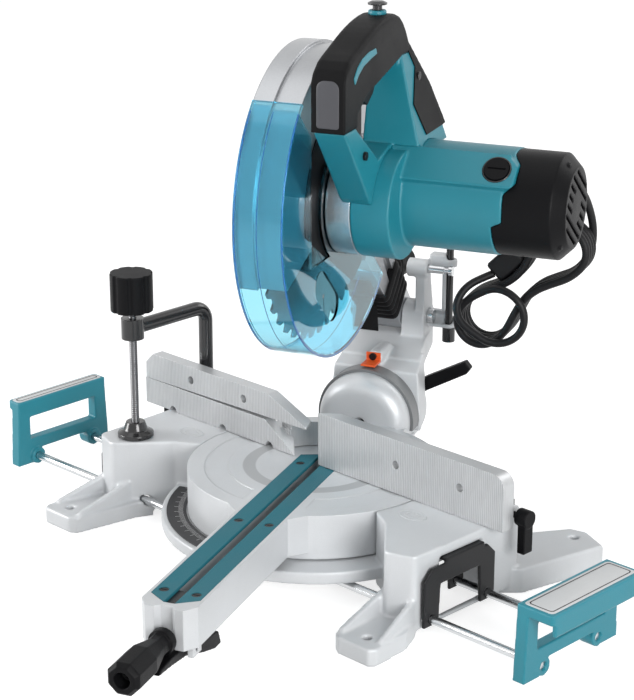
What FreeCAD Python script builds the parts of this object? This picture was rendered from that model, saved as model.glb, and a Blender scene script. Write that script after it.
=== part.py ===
"""Compound mitre saw, 260 mm blade class, on its own feet with two sliding work holders.

Frame: millimetres, origin on the bench under the turntable axis, +X to the operator's right along the fence,
+Y to the back, +Z up.  The turntable is turned 22.5 degrees to the right of square.  Everything that turns with
it is drawn in the arm frame, x across the blade to the right, y back along the blade, and then placed.
"""
import FreeCAD, Part
import math
import os
from types import SimpleNamespace

import Sketcher
from FreeCAD import Placement, Rotation, Vector

doc = FreeCAD.newDocument("mitre_saw")

# Driving dimensions.  Each size is written once here and read from the sheet everywhere else.
SIZES = {
    # table and base
    "table_height": 76.0,
    "table_radius": 120.0,
    "table_plate": 10.0,
    "skirt_bottom": 34.0,
    "skirt_wall": 8.0,
    "ring_radius": 145.0,
    "ring_bottom": 21.0,
    "ring_top": 32.5,
    "block_gap": 1.5,
    "block_end": 207.0,
    "block_wall": 6.0,
    "foot_plate": 16.0,
    "foot_hole_radius": 4.5,
    "foot_hole_across": 195.5,
    "foot_hole_forward": 137.5,
    "rear_foot_height": 24.0,
    "scale_inner": 121.5,
    "scale_outer": 140.0,
    "scale_thick": 1.0,
    "pivot_radius": 5.0,
    "hub_radius": 20.0,
    "hub_top": 36.0,
    # arm of the turntable
    "arm_half": 25.0,
    "arm_bottom": 40.0,
    "arm_front": 325.0,
    "arm_wall": 5.0,
    "kerf_half": 22.0,
    "kerf_thick": 3.0,
    "slot_half": 5.0,
    "trough_half": 8.0,
    "kerf_screw_across": 14.5,
    "grip_height": 48.0,
    "grip_length": 76.0,
    "grip_radius": 14.0,
    "grip_stem_radius": 5.0,
    # fences
    "fence_height": 52.0,
    "fence_thick": 14.0,
    "fence_right_end": 226.0,
    "fence_left_end": 239.0,
    "fence_seam": 26.8,
    "bow_inner": 47.0,
    "bow_outer": 60.0,
    "bow_height": 24.0,
    "rail_depth": 5.0,
    # vise
    "vise_rod_across": 176.0,
    "vise_rod_behind": 11.0,
    "vise_rod_radius": 7.0,
    "vise_reach": 94.0,
    "vise_arm_height": 186.0,
    "vise_pad_radius": 17.5,
    "vise_knob_radius": 20.5,
    "vise_screw_radius": 4.0,
    "clamp_height": 84.0,
    # holders
    "holder_rod_radius": 4.0,
    "holder_rod_height": 15.5,
    "holder_rod_front": -74.5,
    "holder_rod_back": -1.0,
    "holder_rod_inner": 60.0,
    "holder_right_inner": 321.0,
    "holder_left_inner": 326.0,
    # bevel pivot and arm
    "barrel_radius": 47.0,
    "barrel_front": 115.0,
    "barrel_round": 17.0,
    "barrel_back": 150.0,
    "band_radius": 50.0,
    "axle_radius": 6.0,
    "hinge_back": 228.0,
    "hinge_height": 157.0,
    "hinge_pin_radius": 7.0,
    "knuckle_radius": 16.0,
    "wrench_radius": 3.8,
    "pointer_screw_height": 133.2,
    # head
    "blade_radius": 130.0,
    "blade_thick": 2.2,
    "blade_back": 3.0,
    "blade_height": 335.0,
    "case_radius": 138.5,
    "case_wall": 2.5,
    "case_left": -21.0,
    "case_right": 22.5,
    "case_first": -33.0,
    "case_last": 202.0,
    "guard_inner": 140.5,
    "guard_outer": 143.5,
    "guard_left": -19.0,
    "guard_right": 26.5,
    "gearcase_radius": 49.0,
    "gearcase_left": 27.5,
    "gearcase_right": 50.0,
    "arbor_radius": 8.0,
    "motor_radius": 48.0,
    "motor_wall": 3.5,
    "motor_end": 165.0,
    "cover_end": 232.0,
    "seam_top": 179.5,
    "seam_brush": 187.5,
    "seam_side": 178.0,
    "seam_low": 168.5,
    "panel_rise": 3.5,
    "brush_across": 170.0,
    "gear_module": 1.25,
    "gear_teeth": 35.0,
    "pinion_teeth": 9.0,
    "handle_middle": 57.0,
    "handle_half": 14.0,
    "trunnion_radius": 1.5,
    # fits
    "running": 0.05,
    "vise_fit": 0.08,
    "press": 0.02,
    "clear": 0.3,
    # cord, its strain relief and the hank it is put away in
    "cord_radius": 3.75,
    "cord_exit": 208.0,
    "gland_length": 22.0,
    "hank_lean": 45.0,
    "hank_length": 110.0,
    "hank_fold": 27.0,
    "hank_neck": 15.0,
    "hank_half": 20.5,
    "loop_radius": 30.0,
    "loop_thick": 16.5,
}

sheet = doc.addObject("Spreadsheet::Sheet", "Sizes")
for row, (name, value) in enumerate(SIZES.items(), start=1):
    sheet.set(f"A{row}", name)
    sheet.set(f"B{row}", repr(value))
    sheet.setAlias(f"B{row}", name)
doc.recompute()
d = SimpleNamespace(**{name: float(sheet.get(name)) for name in SIZES})
d.vise_rod_back = d.fence_thick + d.vise_rod_behind

TURN = 22.5
X = Vector(1, 0, 0)
Y = Vector(0, 1, 0)
Z = Vector(0, 0, 1)
TURNED = Placement(Vector(0, 0, 0), Rotation(Z, TURN))
HEAD_AXIS = (d.blade_back, d.blade_height)
GEAR_OFFSET = d.gear_module * (d.gear_teeth + d.pinion_teeth) / 2
MOTOR_LIFT = 5.0
MOTOR_AXIS = (
    d.blade_back + math.sqrt(GEAR_OFFSET**2 - MOTOR_LIFT**2),
    d.blade_height + MOTOR_LIFT,
)


# Places shared by two or more pieces, in the piece's own frame.
FENCE_BOLTS = ((140.0, 29.0), (200.0, 40.0))
KERF_SCREW_ROWS = (-294.0, -144.5, -2.0)
WRENCH_AT = (52.0, 233.0)
LEVER_PIVOT = (-d.arm_front + 25.0, 31.0)
TRIGGER_PIVOT = (-56.0, 448.4)


# ---------------------------------------------------------------- solids
def box(x0, x1, y0, y1, z0, z1):
    return Part.makeBox(x1 - x0, y1 - y0, z1 - z0, Vector(x0, y0, z0))


def rod(start, direction, radius, length):
    return Part.makeCylinder(radius, length, Vector(*start), direction)


def wire(points):
    vectors = [Vector(*p) for p in points]
    return Part.makePolygon(vectors + vectors[:1])


def slab(corners, z0, z1):
    """Upright prism over corners given as (x, y)."""
    return Part.Face(wire([(x, y, z0) for x, y in corners])).extrude(Vector(0, 0, z1 - z0))


def side_slab(corners, x0, x1):
    """Prism along x over corners given as (y, z)."""
    return Part.Face(wire([(x0, y, z) for y, z in corners])).extrude(Vector(x1 - x0, 0, 0))


def front_slab(corners, y0, y1):
    """Prism along y over corners given as (x, z)."""
    return Part.Face(wire([(x, y0, z) for x, z in corners])).extrude(Vector(0, y1 - y0, 0))


def curved_side_slab(curve, corners, x0, x1, steps=20):
    """Prism along x with one edge that bends smoothly through curve, in short flats, and straight ones after it."""
    crown = Part.BSplineCurve()
    crown.interpolate([Vector(x0, y, z) for y, z in curve])
    return side_slab([*((p.y, p.z) for p in crown.discretize(steps)), *corners], x0, x1)


def loft(*sections):
    return Part.makeLoft([wire(points) for points in sections], True, True)


def join(first, *others):
    return first.multiFuse(list(others)).removeSplitter()


def cut(shape, *tools):
    return shape.cut(list(tools)) if len(tools) > 1 else shape.cut(tools[0])


def mirrored(shape):
    return shape.mirror(Vector(0, 0, 0), X)


def sector(centre, radius, first, last, x0, x1, reach=1.0):
    """Prism along x over the fan of a circle about centre (y, z), from first to last degrees."""
    steps = max(2, int(abs(last - first) / 30) + 1)
    fan = [centre]
    for step in range(steps + 1):
        angle = math.radians(first + (last - first) * step / steps)
        far = radius * 1.3 * reach
        fan.append((centre[0] + far * math.cos(angle), centre[1] + far * math.sin(angle)))
    return side_slab(fan, x0, x1)


def rounded(shape, radius, picks):
    """Fillet of the edges whose middle point picks accepts."""
    edges = [e for e in shape.Edges if picks(e.CenterOfMass)]
    return shape.makeFillet(radius, edges) if edges else shape


drawn = {}


def feature(label, shape, place=None):
    drawn[label] = shape
    part = doc.addObject("Part::Feature", label)
    part.Label = label
    part.Shape = shape
    if place is not None:
        part.Placement = place.multiply(shape.Placement)
    return part


# ---------------------------------------------------------------- bound sketches
def plane_of(body, role):
    return next(f for f in body.Origin.OriginFeatures if f.Role == role)


def new_body(label, place=None):
    body = doc.addObject("PartDesign::Body", label)
    body.Label = label
    if place is not None:
        body.Placement = place
    return body


def number(formula):
    """Value of a formula over the sheet, for the first guess of a sketch."""
    text = str(formula)
    for name in sorted(SIZES, key=len, reverse=True):
        text = text.replace("Sizes." + name, repr(getattr(d, name)))
    total = FreeCAD.Units.Quantity(text)
    return float(total.Value)


def bind(sketch, constraint, formula):
    index = sketch.addConstraint(constraint)
    if "Sizes." in str(formula):
        sketch.setExpression(f"Constraints[{index}]", str(formula))


def new_sketch(body, role, lift="0"):
    sketch = body.newObject("Sketcher::SketchObject", body.Label + "_sketch")
    sketch.AttachmentSupport = [(plane_of(body, role), "")]
    sketch.MapMode = "FlatFace"
    if str(lift) != "0":
        sketch.AttachmentOffset = Placement(Vector(0, 0, number(lift)), Rotation())
        if "Sizes." in str(lift):
            sketch.setExpression(".AttachmentOffset.Base.z", str(lift))
    return sketch


def add_outline(sketch, corners):
    """Closed outline whose corners are pairs of formulas."""
    values = [(number(a), number(b)) for a, b in corners]
    count = len(values)
    start = sketch.GeometryCount
    for i in range(count):
        a, b = values[i], values[(i + 1) % count]
        sketch.addGeometry(Part.LineSegment(Vector(*a, 0), Vector(*b, 0)), False)
    for i in range(count):
        sketch.addConstraint(Sketcher.Constraint("Coincident", start + i, 2, start + (i + 1) % count, 1))
    for i, (fx, fy) in enumerate(corners):
        bind(sketch, Sketcher.Constraint("DistanceX", -1, 1, start + i, 1, values[i][0]), fx)
        bind(sketch, Sketcher.Constraint("DistanceY", -1, 1, start + i, 1, values[i][1]), fy)


def add_circle(sketch, x, y, radius):
    index = sketch.GeometryCount
    centre = Vector(number(x), number(y), 0)
    sketch.addGeometry(Part.Circle(centre, Z, number(radius)), False)
    bind(sketch, Sketcher.Constraint("DistanceX", -1, 1, index, 3, centre.x), x)
    bind(sketch, Sketcher.Constraint("DistanceY", -1, 1, index, 3, centre.y), y)
    bind(sketch, Sketcher.Constraint("Radius", index, number(radius)), radius)


def pad(body, sketch, length, middle=False, back=False):
    solid = body.newObject("PartDesign::Pad", body.Label + "_pad")
    solid.Profile = sketch
    solid.Length = number(length)
    if "Sizes." in str(length):
        solid.setExpression("Length", str(length))
    solid.Midplane = middle
    solid.Reversed = back
    doc.recompute()
    return solid


def pocket(body, sketch, length="0", back=False):
    """Cut of a given depth, or through everything both ways with depth 0."""
    solid = body.newObject("PartDesign::Pocket", body.Label + "_pocket")
    solid.Profile = sketch
    if str(length) == "0":
        solid.Type = "ThroughAll"
        solid.Midplane = True
    else:
        solid.Length = number(length)
        solid.Reversed = back
    doc.recompute()
    return solid


def turned(label, corners, place=None):
    """Body of revolution about its own z axis; corners are (radius, height) formulas."""
    body = new_body(label, place)
    sketch = new_sketch(body, "XZ_Plane")
    add_outline(sketch, corners)
    solid = body.newObject("PartDesign::Revolution", label + "_turn")
    solid.Profile = sketch
    solid.ReferenceAxis = (sketch, ["V_Axis"])
    solid.Angle = 360
    doc.recompute()
    return body


def plate(label, role, corners, length, lift="0", place=None, holes=(), middle=False, back=False):
    """Flat piece cut from plate: an outline with round holes, all bound to the sheet."""
    body = new_body(label, place)
    sketch = new_sketch(body, role, lift)
    add_outline(sketch, corners)
    for x, y, radius in holes:
        add_circle(sketch, x, y, radius)
    pad(body, sketch, length, middle, back)
    return body


def along_x(x, y, z, spin=0.0):
    """Arm-frame placement that lays a turned piece's z axis along +x."""
    return TURNED.multiply(Placement(Vector(x, y, z), Rotation(Y, 90).multiply(Rotation(Z, spin))))


def along_y(x, y, z, spin=0.0):
    return TURNED.multiply(Placement(Vector(x, y, z), Rotation(X, -90).multiply(Rotation(Z, spin))))


# ---------------------------------------------------------------- base casting
def block_outline():
    return [(112, -38), (118, -43), (138, -54), (178, -99), (d.block_end - 2, -90),
            (d.block_end, -2), (d.block_end, 47), (126, 47), (112, 40)]


def base_casting():
    """Cast base: ring under the turntable, two hollow table blocks, two front and two rear feet."""
    table = d.table_height
    ring = rod((0, 0, d.ring_bottom), Z, d.ring_radius, d.ring_top - d.ring_bottom)
    ring = cut(ring, rod((0, 0, 0), Z, 96, 60))
    hub = rod((0, 0, 12), Z, d.hub_radius, d.hub_top - 12)
    spokes = [box(-100, 100, -9, 9, d.ring_bottom, d.ring_top), box(-9, 9, -100, 100, d.ring_bottom, d.ring_top)]
    wall = d.block_wall
    for_turn = rod((0, 0, 0), Z, d.table_radius + d.block_gap, 200)
    block = slab(block_outline(), 6, table)
    block = rounded(block, 8, lambda c: c.x > 170 and 20 < c.z < 60 and c.y < -80)
    hollow = slab([(128, -38), (141.7, -50.7), (179, -92.5), (d.block_end - wall, -85),
                   (d.block_end - wall, 41), (128, 41)], 0, table - 10)
    block = cut(block, hollow, for_turn)
    window = box(d.block_end - 20, d.block_end + 10, -58, -4, 10, table - 10)
    block = cut(block, window)
    front = slab([(150, -70), (158, -85), (170, -150), (178, -155), (212, -155), (217, -148), (214, -109),
                  (d.block_end - 2, -88), (d.block_end - 8, -80)], 0, d.foot_plate)
    ribs = [loft([(170, -146, d.foot_plate - 2), (176, -146, d.foot_plate - 2), (176, -146, d.foot_plate + 3),
                  (170, -146, d.foot_plate + 3)],
                 [(166, -86, d.foot_plate - 2), (172, -86, d.foot_plate - 2), (172, -86, 36), (166, -86, 36)]),
            loft([(209, -140, d.foot_plate - 2), (214, -140, d.foot_plate - 2), (214, -140, d.foot_plate + 3),
                  (209, -140, d.foot_plate + 3)],
                 [(198, -86, d.foot_plate - 2), (204, -86, d.foot_plate - 2), (204, -86, 36), (198, -86, 36)])]
    rear = slab([(140, 30), (200, 30), (215, 45), (236, 135), (206, 149), (190, 145), (161, 101), (136, 50)],
                0, d.rear_foot_height)
    rear = rounded(rear, 2.0, lambda c: c.z > d.rear_foot_height - 0.5 and c.y > 60)
    half = join(block, front, rear, *ribs)
    boss = rod((d.vise_rod_across, d.vise_rod_back, table - 24), Z, 12, 20)
    half = join(half, boss)
    holes = [rod((d.foot_hole_across, -d.foot_hole_forward, -5), Z, d.foot_hole_radius, 60),
             rod((205, 131, -5), Z, d.foot_hole_radius, 60),
             rod((d.vise_rod_across, d.vise_rod_back, 30), Z, d.vise_rod_radius + d.clear, 80)]
    for x, y in FENCE_BOLTS:
        holes.append(rod((x, y, 60), Z, 3 + d.running, 30))
    for y in (d.holder_rod_front, d.holder_rod_back):
        holes.append(rod((100, y, d.holder_rod_height), X, d.holder_rod_radius + 1.0, d.block_end - 87))
    # slots in the floor and wall that the legs of the rod guide stand in
    for y in (d.holder_rod_front, d.holder_rod_back):
        holes.append(box(172.6, 176.4, y - 10, y + 10.5, 8.6, 50))
    half = cut(half, *holes)
    halves = [half, mirrored(half)]
    shape = join(ring, hub, *spokes, *halves)
    clearance = rod((0, 0, d.ring_top + 0.01), Z, d.table_radius + d.block_gap, 80)
    clearance = cut(clearance, rod((0, 0, 0), Z, d.hub_radius, d.hub_top))
    shape = cut(shape, clearance, rod((0, 0, -1), Z, d.pivot_radius + d.running, 60))
    return feature("base_casting", shape)


def fence_casting():
    """One casting: right fence, lower left fence and the bow that joins them behind the blade."""
    table, thick = d.table_height, d.fence_thick
    low = table + 0.6
    top = table + d.fence_height
    seam = table + d.fence_seam
    right = slab([(3.5, 0), (d.fence_right_end, 0), (d.fence_right_end, thick),
                  (3.5 + 1.1 * thick, thick)], low, top)
    right = rounded(right, 12, lambda c: c.x > d.fence_right_end - 1 and c.z > top - 1)
    left = front_slab([(-d.fence_left_end, low), (-27.4, low), (-67.4, seam), (-d.fence_left_end, seam)], 0, thick)
    back_cut = slab([(-27.4, 0), (0, 0), (0, 20), (-27.4 - 1.1 * thick, thick)], low - 1, seam + 1)
    left = cut(left, back_cut)
    bow = rod((0, 0, low), Z, d.bow_outer, d.bow_height)
    bow = cut(bow, rod((0, 0, 0), Z, d.bow_inner, 200), box(-100, 100, -100, thick - 2, 0, 200))
    feet = []
    for side in (1, -1):
        foot = box(132, d.block_end - 1, 0.5, 46, table, table + 6)
        boss = rod((d.vise_rod_across, d.vise_rod_back, table), Z, 13, 18)
        screw_boss = rod((d.vise_rod_across, d.vise_rod_back, d.clamp_height), X, 8, d.fence_right_end - 8
                         - d.vise_rod_across)
        lump = join(foot, boss, screw_boss, box(d.vise_rod_across - 8, d.fence_right_end - 12,
                                                thick - 2, d.vise_rod_back, table + 1, d.clamp_height + 7))
        feet.append(lump if side == 1 else mirrored(lump))
    shape = join(right, left, bow, *feet)
    tools = []
    for side in (1, -1):
        tools.append(rod((side * d.vise_rod_across, d.vise_rod_back, 40), Z, d.vise_rod_radius + d.vise_fit, 90))
        tools.append(rod((side * d.vise_rod_across, d.vise_rod_back, d.clamp_height), X * side,
                         3 + d.running, d.block_end - 127))
        for x, y in FENCE_BOLTS:
            tools.append(rod((side * x, y, 60), Z, 3 + d.running, 40))
            tools.append(rod((side * x, y, table + 6), Z, 6.2, 40))
    for x, z in ((100.6, 104), (176.3, 104)):
        tools.append(rod((x, -5, z), Y, 4.0, 30))
    # finger notches under the left fence
    for x in (-199.0, -127.0, -62.0):
        tools.append(rod((x, -5, low), Y, 5.0, 30 if x > -100 else 5 + thick / 2))
    # rebate that the sliding fence runs in
    tools.append(box(-d.fence_left_end - 2, -30, thick - d.rail_depth, thick + 0.01, seam - 8, seam + 1))
    # relief over the turntable
    tools.append(rod((0, 0, table - 1), Z, d.table_radius + d.block_gap, 1.6))
    shape = cut(shape, *tools)
    return feature("fence_casting", shape)


def fence_bolts():
    """Four socket head bolts that hold the fence casting down on the base."""
    bolts = []
    for side in (1, -1):
        for x, y in FENCE_BOLTS:
            head = rod((side * x, y, d.table_height + 6), Z, 5, 6)
            shank = rod((side * x, y, d.table_height - 9.5), Z, 3, 16)
            socket = rod((side * x, y, d.table_height + 9), Z, 2.4, 4)
            bolts.append(cut(head.fuse(shank), socket))
    return feature("fence_bolts", Part.makeCompound(bolts))


def mitre_scale():
    """Black scale plate on the front of the base ring."""
    ring = rod((0, 0, d.ring_top), Z, d.scale_outer, d.scale_thick)
    ring = cut(ring, rod((0, 0, 0), Z, d.scale_inner, 60))
    fan = [(0, 0)]
    for angle in range(-156, -71, 12):
        fan.append((220 * math.cos(math.radians(angle)), 220 * math.sin(math.radians(angle))))
    return feature("mitre_scale", ring.common(slab(fan, 0, 60)))


def rod_brackets():
    """Folded steel guide under each block: two arched plates with the holder rods through them."""
    sides = []
    top = d.table_height - 10
    for side in (1, -1):
        plates = []
        for x in (173.0, d.block_end + 1.5):
            front = d.holder_rod_front - 9.5
            back = d.holder_rod_back + 10
            low = 0 if x < d.block_end else 4
            outer = [(front, 9), (front + 19, 9), (front + 21, 45), (back - 21, 45), (back - 19, 9), (back, 9),
                     (back, top - 12 - low / 2), (back - 12 + low / 2, top - low),
                     (front + 12 - low / 2, top - low), (front, top - 12 - low / 2)]
            piece = side_slab(outer, x, x + 3)
            plates.append(piece)
        web = box(173, d.block_end + 4.5, -56, -6, top - 3, top)
        guide = join(plates[0], plates[1].fuse(box(d.block_end + 1.5, d.block_end + 4.5, -56, -6, top - 6, top)), web)
        for y in (d.holder_rod_front, d.holder_rod_back):
            guide = cut(guide, rod((140, y, d.holder_rod_height), X, d.holder_rod_radius + d.running,
                                   d.block_end - 117))
        sides.append(guide if side == 1 else mirrored(guide))
    return feature("rod_brackets", Part.makeCompound(sides))


# ---------------------------------------------------------------- turntable
def turntable_casting():
    """Round table with its arm, blade trough and the barrel of the bevel pivot at the back."""
    table = d.table_height
    disc = rod((0, 0, table - d.table_plate), Z, d.table_radius, d.table_plate)
    skirt = cut(rod((0, 0, d.skirt_bottom), Z, d.table_radius, table - d.skirt_bottom),
                rod((0, 0, 0), Z, d.table_radius - d.skirt_wall, table - 1))
    half, wall, bottom = d.arm_half, d.arm_wall, d.arm_bottom
    arm = slab([(-half, -100), (-half, -314), (-half + 8, -d.arm_front), (-9, -d.arm_front), (-5, -320),
                (5, -320), (9, -d.arm_front), (half - 8, -d.arm_front), (half, -314), (half, -100)], bottom, table)
    inside = box(-half + wall, half - wall, -290, -90, 30, table - d.table_plate)
    arm = cut(arm, inside, rod((0, 0, 0), Z, d.table_radius - d.skirt_wall, table - 1))
    flare = slab([(-half, -128), (-44, -108), (44, -108), (half, -128)], bottom, table)
    flare = cut(flare, rod((0, 0, 0), Z, d.table_radius - d.skirt_wall, table - 1),
                box(-half + wall, half - wall, -200, 0, 30, table - d.table_plate))
    trough = box(-d.trough_half - 4, d.trough_half + 4, -290, 28, 46.5, table)
    hub = rod((0, 0, d.hub_top + d.clear), Z, d.hub_radius - 2, 14)
    stem_wall = box(-half, half, -182, -174, bottom, table - 2)
    rear = front_slab([(-46, 36), (46, 36), (46, 60), (30, 66), (-30, 66), (-46, 60)], 100, d.barrel_back)
    barrel = rod((0, d.barrel_front, table), Y, d.barrel_radius, d.barrel_back - d.barrel_front)
    barrel = barrel.makeFillet(d.barrel_round, [e for e in barrel.Edges if abs(e.CenterOfMass.y - d.barrel_front) < 0.01])
    ears = [front_slab([(-46, 36), (46, 36), (46, table - 2), (-46, table - 2)], 96, 128)]
    pivot_y, pivot_z = LEVER_PIVOT
    for x in (-17, 12):
        ears.append(cut(box(x, x + 5, pivot_y - 8, pivot_y + 8, pivot_z - 5, bottom + 4),
                        rod((-30, pivot_y, pivot_z), X, 2.5 + d.running, 60)))
    solid = join(disc, skirt, arm, flare, trough, hub, stem_wall, rear, barrel, *ears)
    board = slab([(-d.kerf_half - 0.2, -303), (-d.slot_half, -315.3), (d.slot_half, -315.3),
                  (d.kerf_half + 0.2, -303), (d.kerf_half + 0.2, 18), (d.slot_half, 25.3), (-d.slot_half, 25.3),
                  (-d.kerf_half - 0.2, 18)], table - d.kerf_thick, table + 5)
    trough_cut = box(-d.trough_half, d.trough_half, -286, 24, 50.5, table + 5)
    screws = [rod((side * d.kerf_screw_across, y, 50), Z, 2 + d.running, 30)
              for side in (1, -1) for y in KERF_SCREW_ROWS]
    stem = rod((0, -340, d.grip_height), Y, d.grip_stem_radius + d.running, 190)
    pivot = rod((0, 0, 30), Z, d.pivot_radius + d.running, 19)
    axle = rod((0, d.barrel_front - 20, table), Y, d.axle_radius + d.running, 80)
    low_cut = box(-200, 200, 90, 148, 0, 35.5)
    step = box(-46, -36, -106, -98, 30, 60)
    recess = cut(rod((0, 0, table - 0.6), Z, 104, 5), rod((0, 0, 0), Z, 82, 200),
                 box(-30, 30, -200, 200, 0, 200))
    solid = cut(solid, board, trough_cut, *screws, stem, pivot, axle, low_cut, step, recess)
    return feature("turntable_casting", solid, TURNED)


def kerf_board(label, side):
    """Replaceable board beside the blade slot, flush with the table."""
    s = "" if side > 0 else "-"
    corners = [(f"{s}Sizes.slot_half", "-315"), (f"{s}Sizes.slot_half", "25"),
               (f"{s}Sizes.kerf_half", "17.7"), (f"{s}Sizes.kerf_half", "-302.7")]
    holes = [(side * d.kerf_screw_across, y, "4.2") for y in KERF_SCREW_ROWS]
    return plate(label, "XY_Plane", corners, "Sizes.kerf_thick", "Sizes.table_height - Sizes.kerf_thick", TURNED,
                 holes)


def kerf_screws():
    screws = []
    for side in (1, -1):
        for y in KERF_SCREW_ROWS:
            head = rod((side * d.kerf_screw_across, y, d.table_height - d.kerf_thick), Z, 4.0, 2.6)
            shank = rod((side * d.kerf_screw_across, y, d.table_height - 14), Z, 2, 12)
            slot = box(side * d.kerf_screw_across - 3, side * d.kerf_screw_across + 3, y - 0.5, y + 0.5,
                       d.table_height - 1.4, d.table_height)
            screws.append(cut(head.fuse(shank), slot))
    return feature("kerf_screws", Part.makeCompound(screws), TURNED)


def pivot_bolt():
    """Bolt up through the base hub into the turntable."""
    return turned("pivot_bolt", [("0", "3"), ("9", "3"), ("9", "11.7"), ("Sizes.pivot_radius", "11.7"),
                                 ("Sizes.pivot_radius", "47.5"), ("0", "47.5")], TURNED)


def bevel_scale():
    """Darker band with the bevel scale round the back of the barrel."""
    ring = rod((0, 133, d.table_height), Y, d.band_radius, d.barrel_back - 133)
    ring = cut(ring, rod((0, 100, d.table_height), Y, d.barrel_radius + 0.02, 80),
               box(-80, 80, 100, 180, 0, 68))
    return feature("bevel_scale", ring, TURNED)


def bevel_axle():
    return turned("bevel_axle", [("0", "0"), ("Sizes.axle_radius", "0"), ("Sizes.axle_radius", "94"),
                                 ("0", "94")], along_y(0, 118, d.table_height))


def front_grip():
    """Octagonal moulded grip whose stem clamps the turntable."""
    length, radius = d.grip_length, d.grip_radius
    front = -d.arm_front - length

    def octagon(y, r):
        return [(r * math.cos(math.radians(22.5 + 45 * i)) / math.cos(math.radians(22.5)), y,
                 r * math.sin(math.radians(22.5 + 45 * i)) / math.cos(math.radians(22.5)) + d.grip_height)
                for i in range(8)]
    shape = loft(octagon(front, radius - 3), octagon(front + 4, radius), octagon(front + 34, radius),
                 octagon(front + 58, radius * 0.62), octagon(-d.arm_front - 4, radius * 0.62))
    collar = rod((0, -d.arm_front - 8, d.grip_height), Y, radius * 0.8, 7.7)
    shape = join(shape, collar)
    shape = cut(shape, rod((0, front - 1, d.grip_height), Y, 7, 15),
                rod((0, front + 14, d.grip_height), Y, d.grip_stem_radius + 0.02, length))
    return feature("front_grip", shape, TURNED)


def grip_stem():
    return turned("grip_stem", [("0", "0"), ("Sizes.grip_stem_radius", "0"),
                                ("Sizes.grip_stem_radius", "Sizes.grip_length + 135"), ("0", "Sizes.grip_length + 135")],
                  along_y(0, -d.arm_front - d.grip_length + 15, d.grip_height))


def detent_lever():
    """Thumb lever under the arm front; its back end carries the detent tongue."""
    corners = [(-32, 31.8), (-27, 35.3), (-7, 36.8), (25, 34.8), (63, 22.8), (82, 18.8), (87, 5.8), (75, 5.8),
               (53, 12.8), (19, 25.8), (-9, 29.8)]
    shape = side_slab([(y - d.arm_front, z) for y, z in corners], -10, 10)
    stubs = rod((-16, *LEVER_PIVOT), X, 2.5, 32)
    return feature("detent_lever", join(shape, stubs), TURNED)


# ---------------------------------------------------------------- bevel arm
def bevel_arm_casting():
    """Casting that tilts on the barrel and carries the hinge of the head."""
    table = d.table_height
    back = d.barrel_back + d.clear
    hy, hz = d.hinge_back, d.hinge_height
    disc = rod((0, back, table), Y, 47, 34)
    lower = loft([(-46, back, 62), (52, back, 62), (48, back, 122), (-40, back, 122)],
                 [(-44, 186, 70), (46, 186, 70), (42, 186, 132), (-40, 186, 132)],
                 )
    upper = loft([(-40, 170, 88), (42, 170, 88), (42, 170, 129), (-40, 170, 129)],
                 [(-40, 214, 112), (34, 214, 112), (34, 214, 138), (-40, 214, 138)],
                 [(-46, 244, 122), (32, 244, 122), (32, 244, 140), (-46, 244, 140)])
    r = d.knuckle_radius
    right = join(rod((8.2, hy, hz), X, r, 23.8), box(8.2, 32, hy - r, hy + r, 134, hz))
    left = join(rod((-46, hy, hz), X, r, 10), box(-46, -36, hy - r, hy + r, 134, hz))
    strut = box(22, 32, 214, 230, hz, 205)
    boss = rod((13, 220, 209), X, 9.5, 21)
    web = side_slab([(216, 138), (242, 138), (242, 165), (230, 215), (222, 218), (216, 200)], 26, 32)
    shelf = cut(box(32, WRENCH_AT[0] - 2, 226, 240, 146, 222), box(31, WRENCH_AT[0] - 6, 220, 250, 162, 208))
    clip = join(rod((*WRENCH_AT, 146), Z, 7.5, 10), rod((*WRENCH_AT, 210), Z, 7.5, 8))
    pointer_boss = rod((0, 156, 129.5), Y, 8.5, 34)
    solid = join(disc, lower, upper, right, left, strut, boss, web, shelf, clip, pointer_boss)
    knuckle_room = rod((-36, hy, hz), X, r + 1.2, 44.2)
    seat = box(-36, 8.2, 205, 260, 141, 200)
    hinge = rod((-60, hy, hz), X, d.hinge_pin_radius + d.running, 120)
    pin = rod((0, 220, 209), X, 4 + d.running, 60)
    axle = rod((0, 140, table), Y, d.axle_radius + d.running, 80)
    lever_room = box(-30, 90, 184.4, 215, 40, 105)
    wrench = rod((*WRENCH_AT, 100), Z, d.wrench_radius + 0.02, 200)
    pointer_screw_hole = rod((0, 140, d.pointer_screw_height), Y, 1.8, 30)
    solid = cut(solid, knuckle_room, seat, hinge, pin, axle, lever_room, wrench, pointer_screw_hole)
    return feature("bevel_arm_casting", solid, TURNED)


def bevel_pointer():
    """Pointer over the bevel band with its red window."""
    back = 155.8
    shape = join(box(-7.5, 7.5, back - 2.2, back, 127.2, 137), box(-7.5, 7.5, 138, back, 127.2, 129.2))
    shape = cut(shape, rod((0, 100, d.pointer_screw_height), Y, 1.8 + d.running, 80))
    return feature("bevel_pointer", shape, TURNED)


def pointer_screw():
    return turned("pointer_screw", [("0", "0"), ("3.6", "0"), ("3.6", "2.2"), ("1.75", "2.2"), ("1.75", "12"),
                                    ("0", "12")], along_y(0, 151.4, d.pointer_screw_height))


def hinge_pin():
    return turned("hinge_pin", [("0", "0"), ("10", "0"), ("10", "4"), ("Sizes.hinge_pin_radius", "4"),
                                ("Sizes.hinge_pin_radius", "88"), ("0", "88")],
                  along_x(-50.2, d.hinge_back, d.hinge_height))


def blade_wrench():
    """Box wrench kept upright in its clip."""
    x, y = WRENCH_AT
    bar = rod((x, y, 145), Z, d.wrench_radius, 83)
    socket = cut(rod((x, y, 131), Z, 6.5, 14.8), rod((x, y, 130), Z, 4.2, 8))
    bend = rod((x, y, 228), Vector(0, 0.8, 0.25), d.wrench_radius, 14)
    return feature("blade_wrench", join(bar, socket, Part.makeSphere(d.wrench_radius, Vector(x, y, 228)), bend),
                   TURNED)


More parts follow.
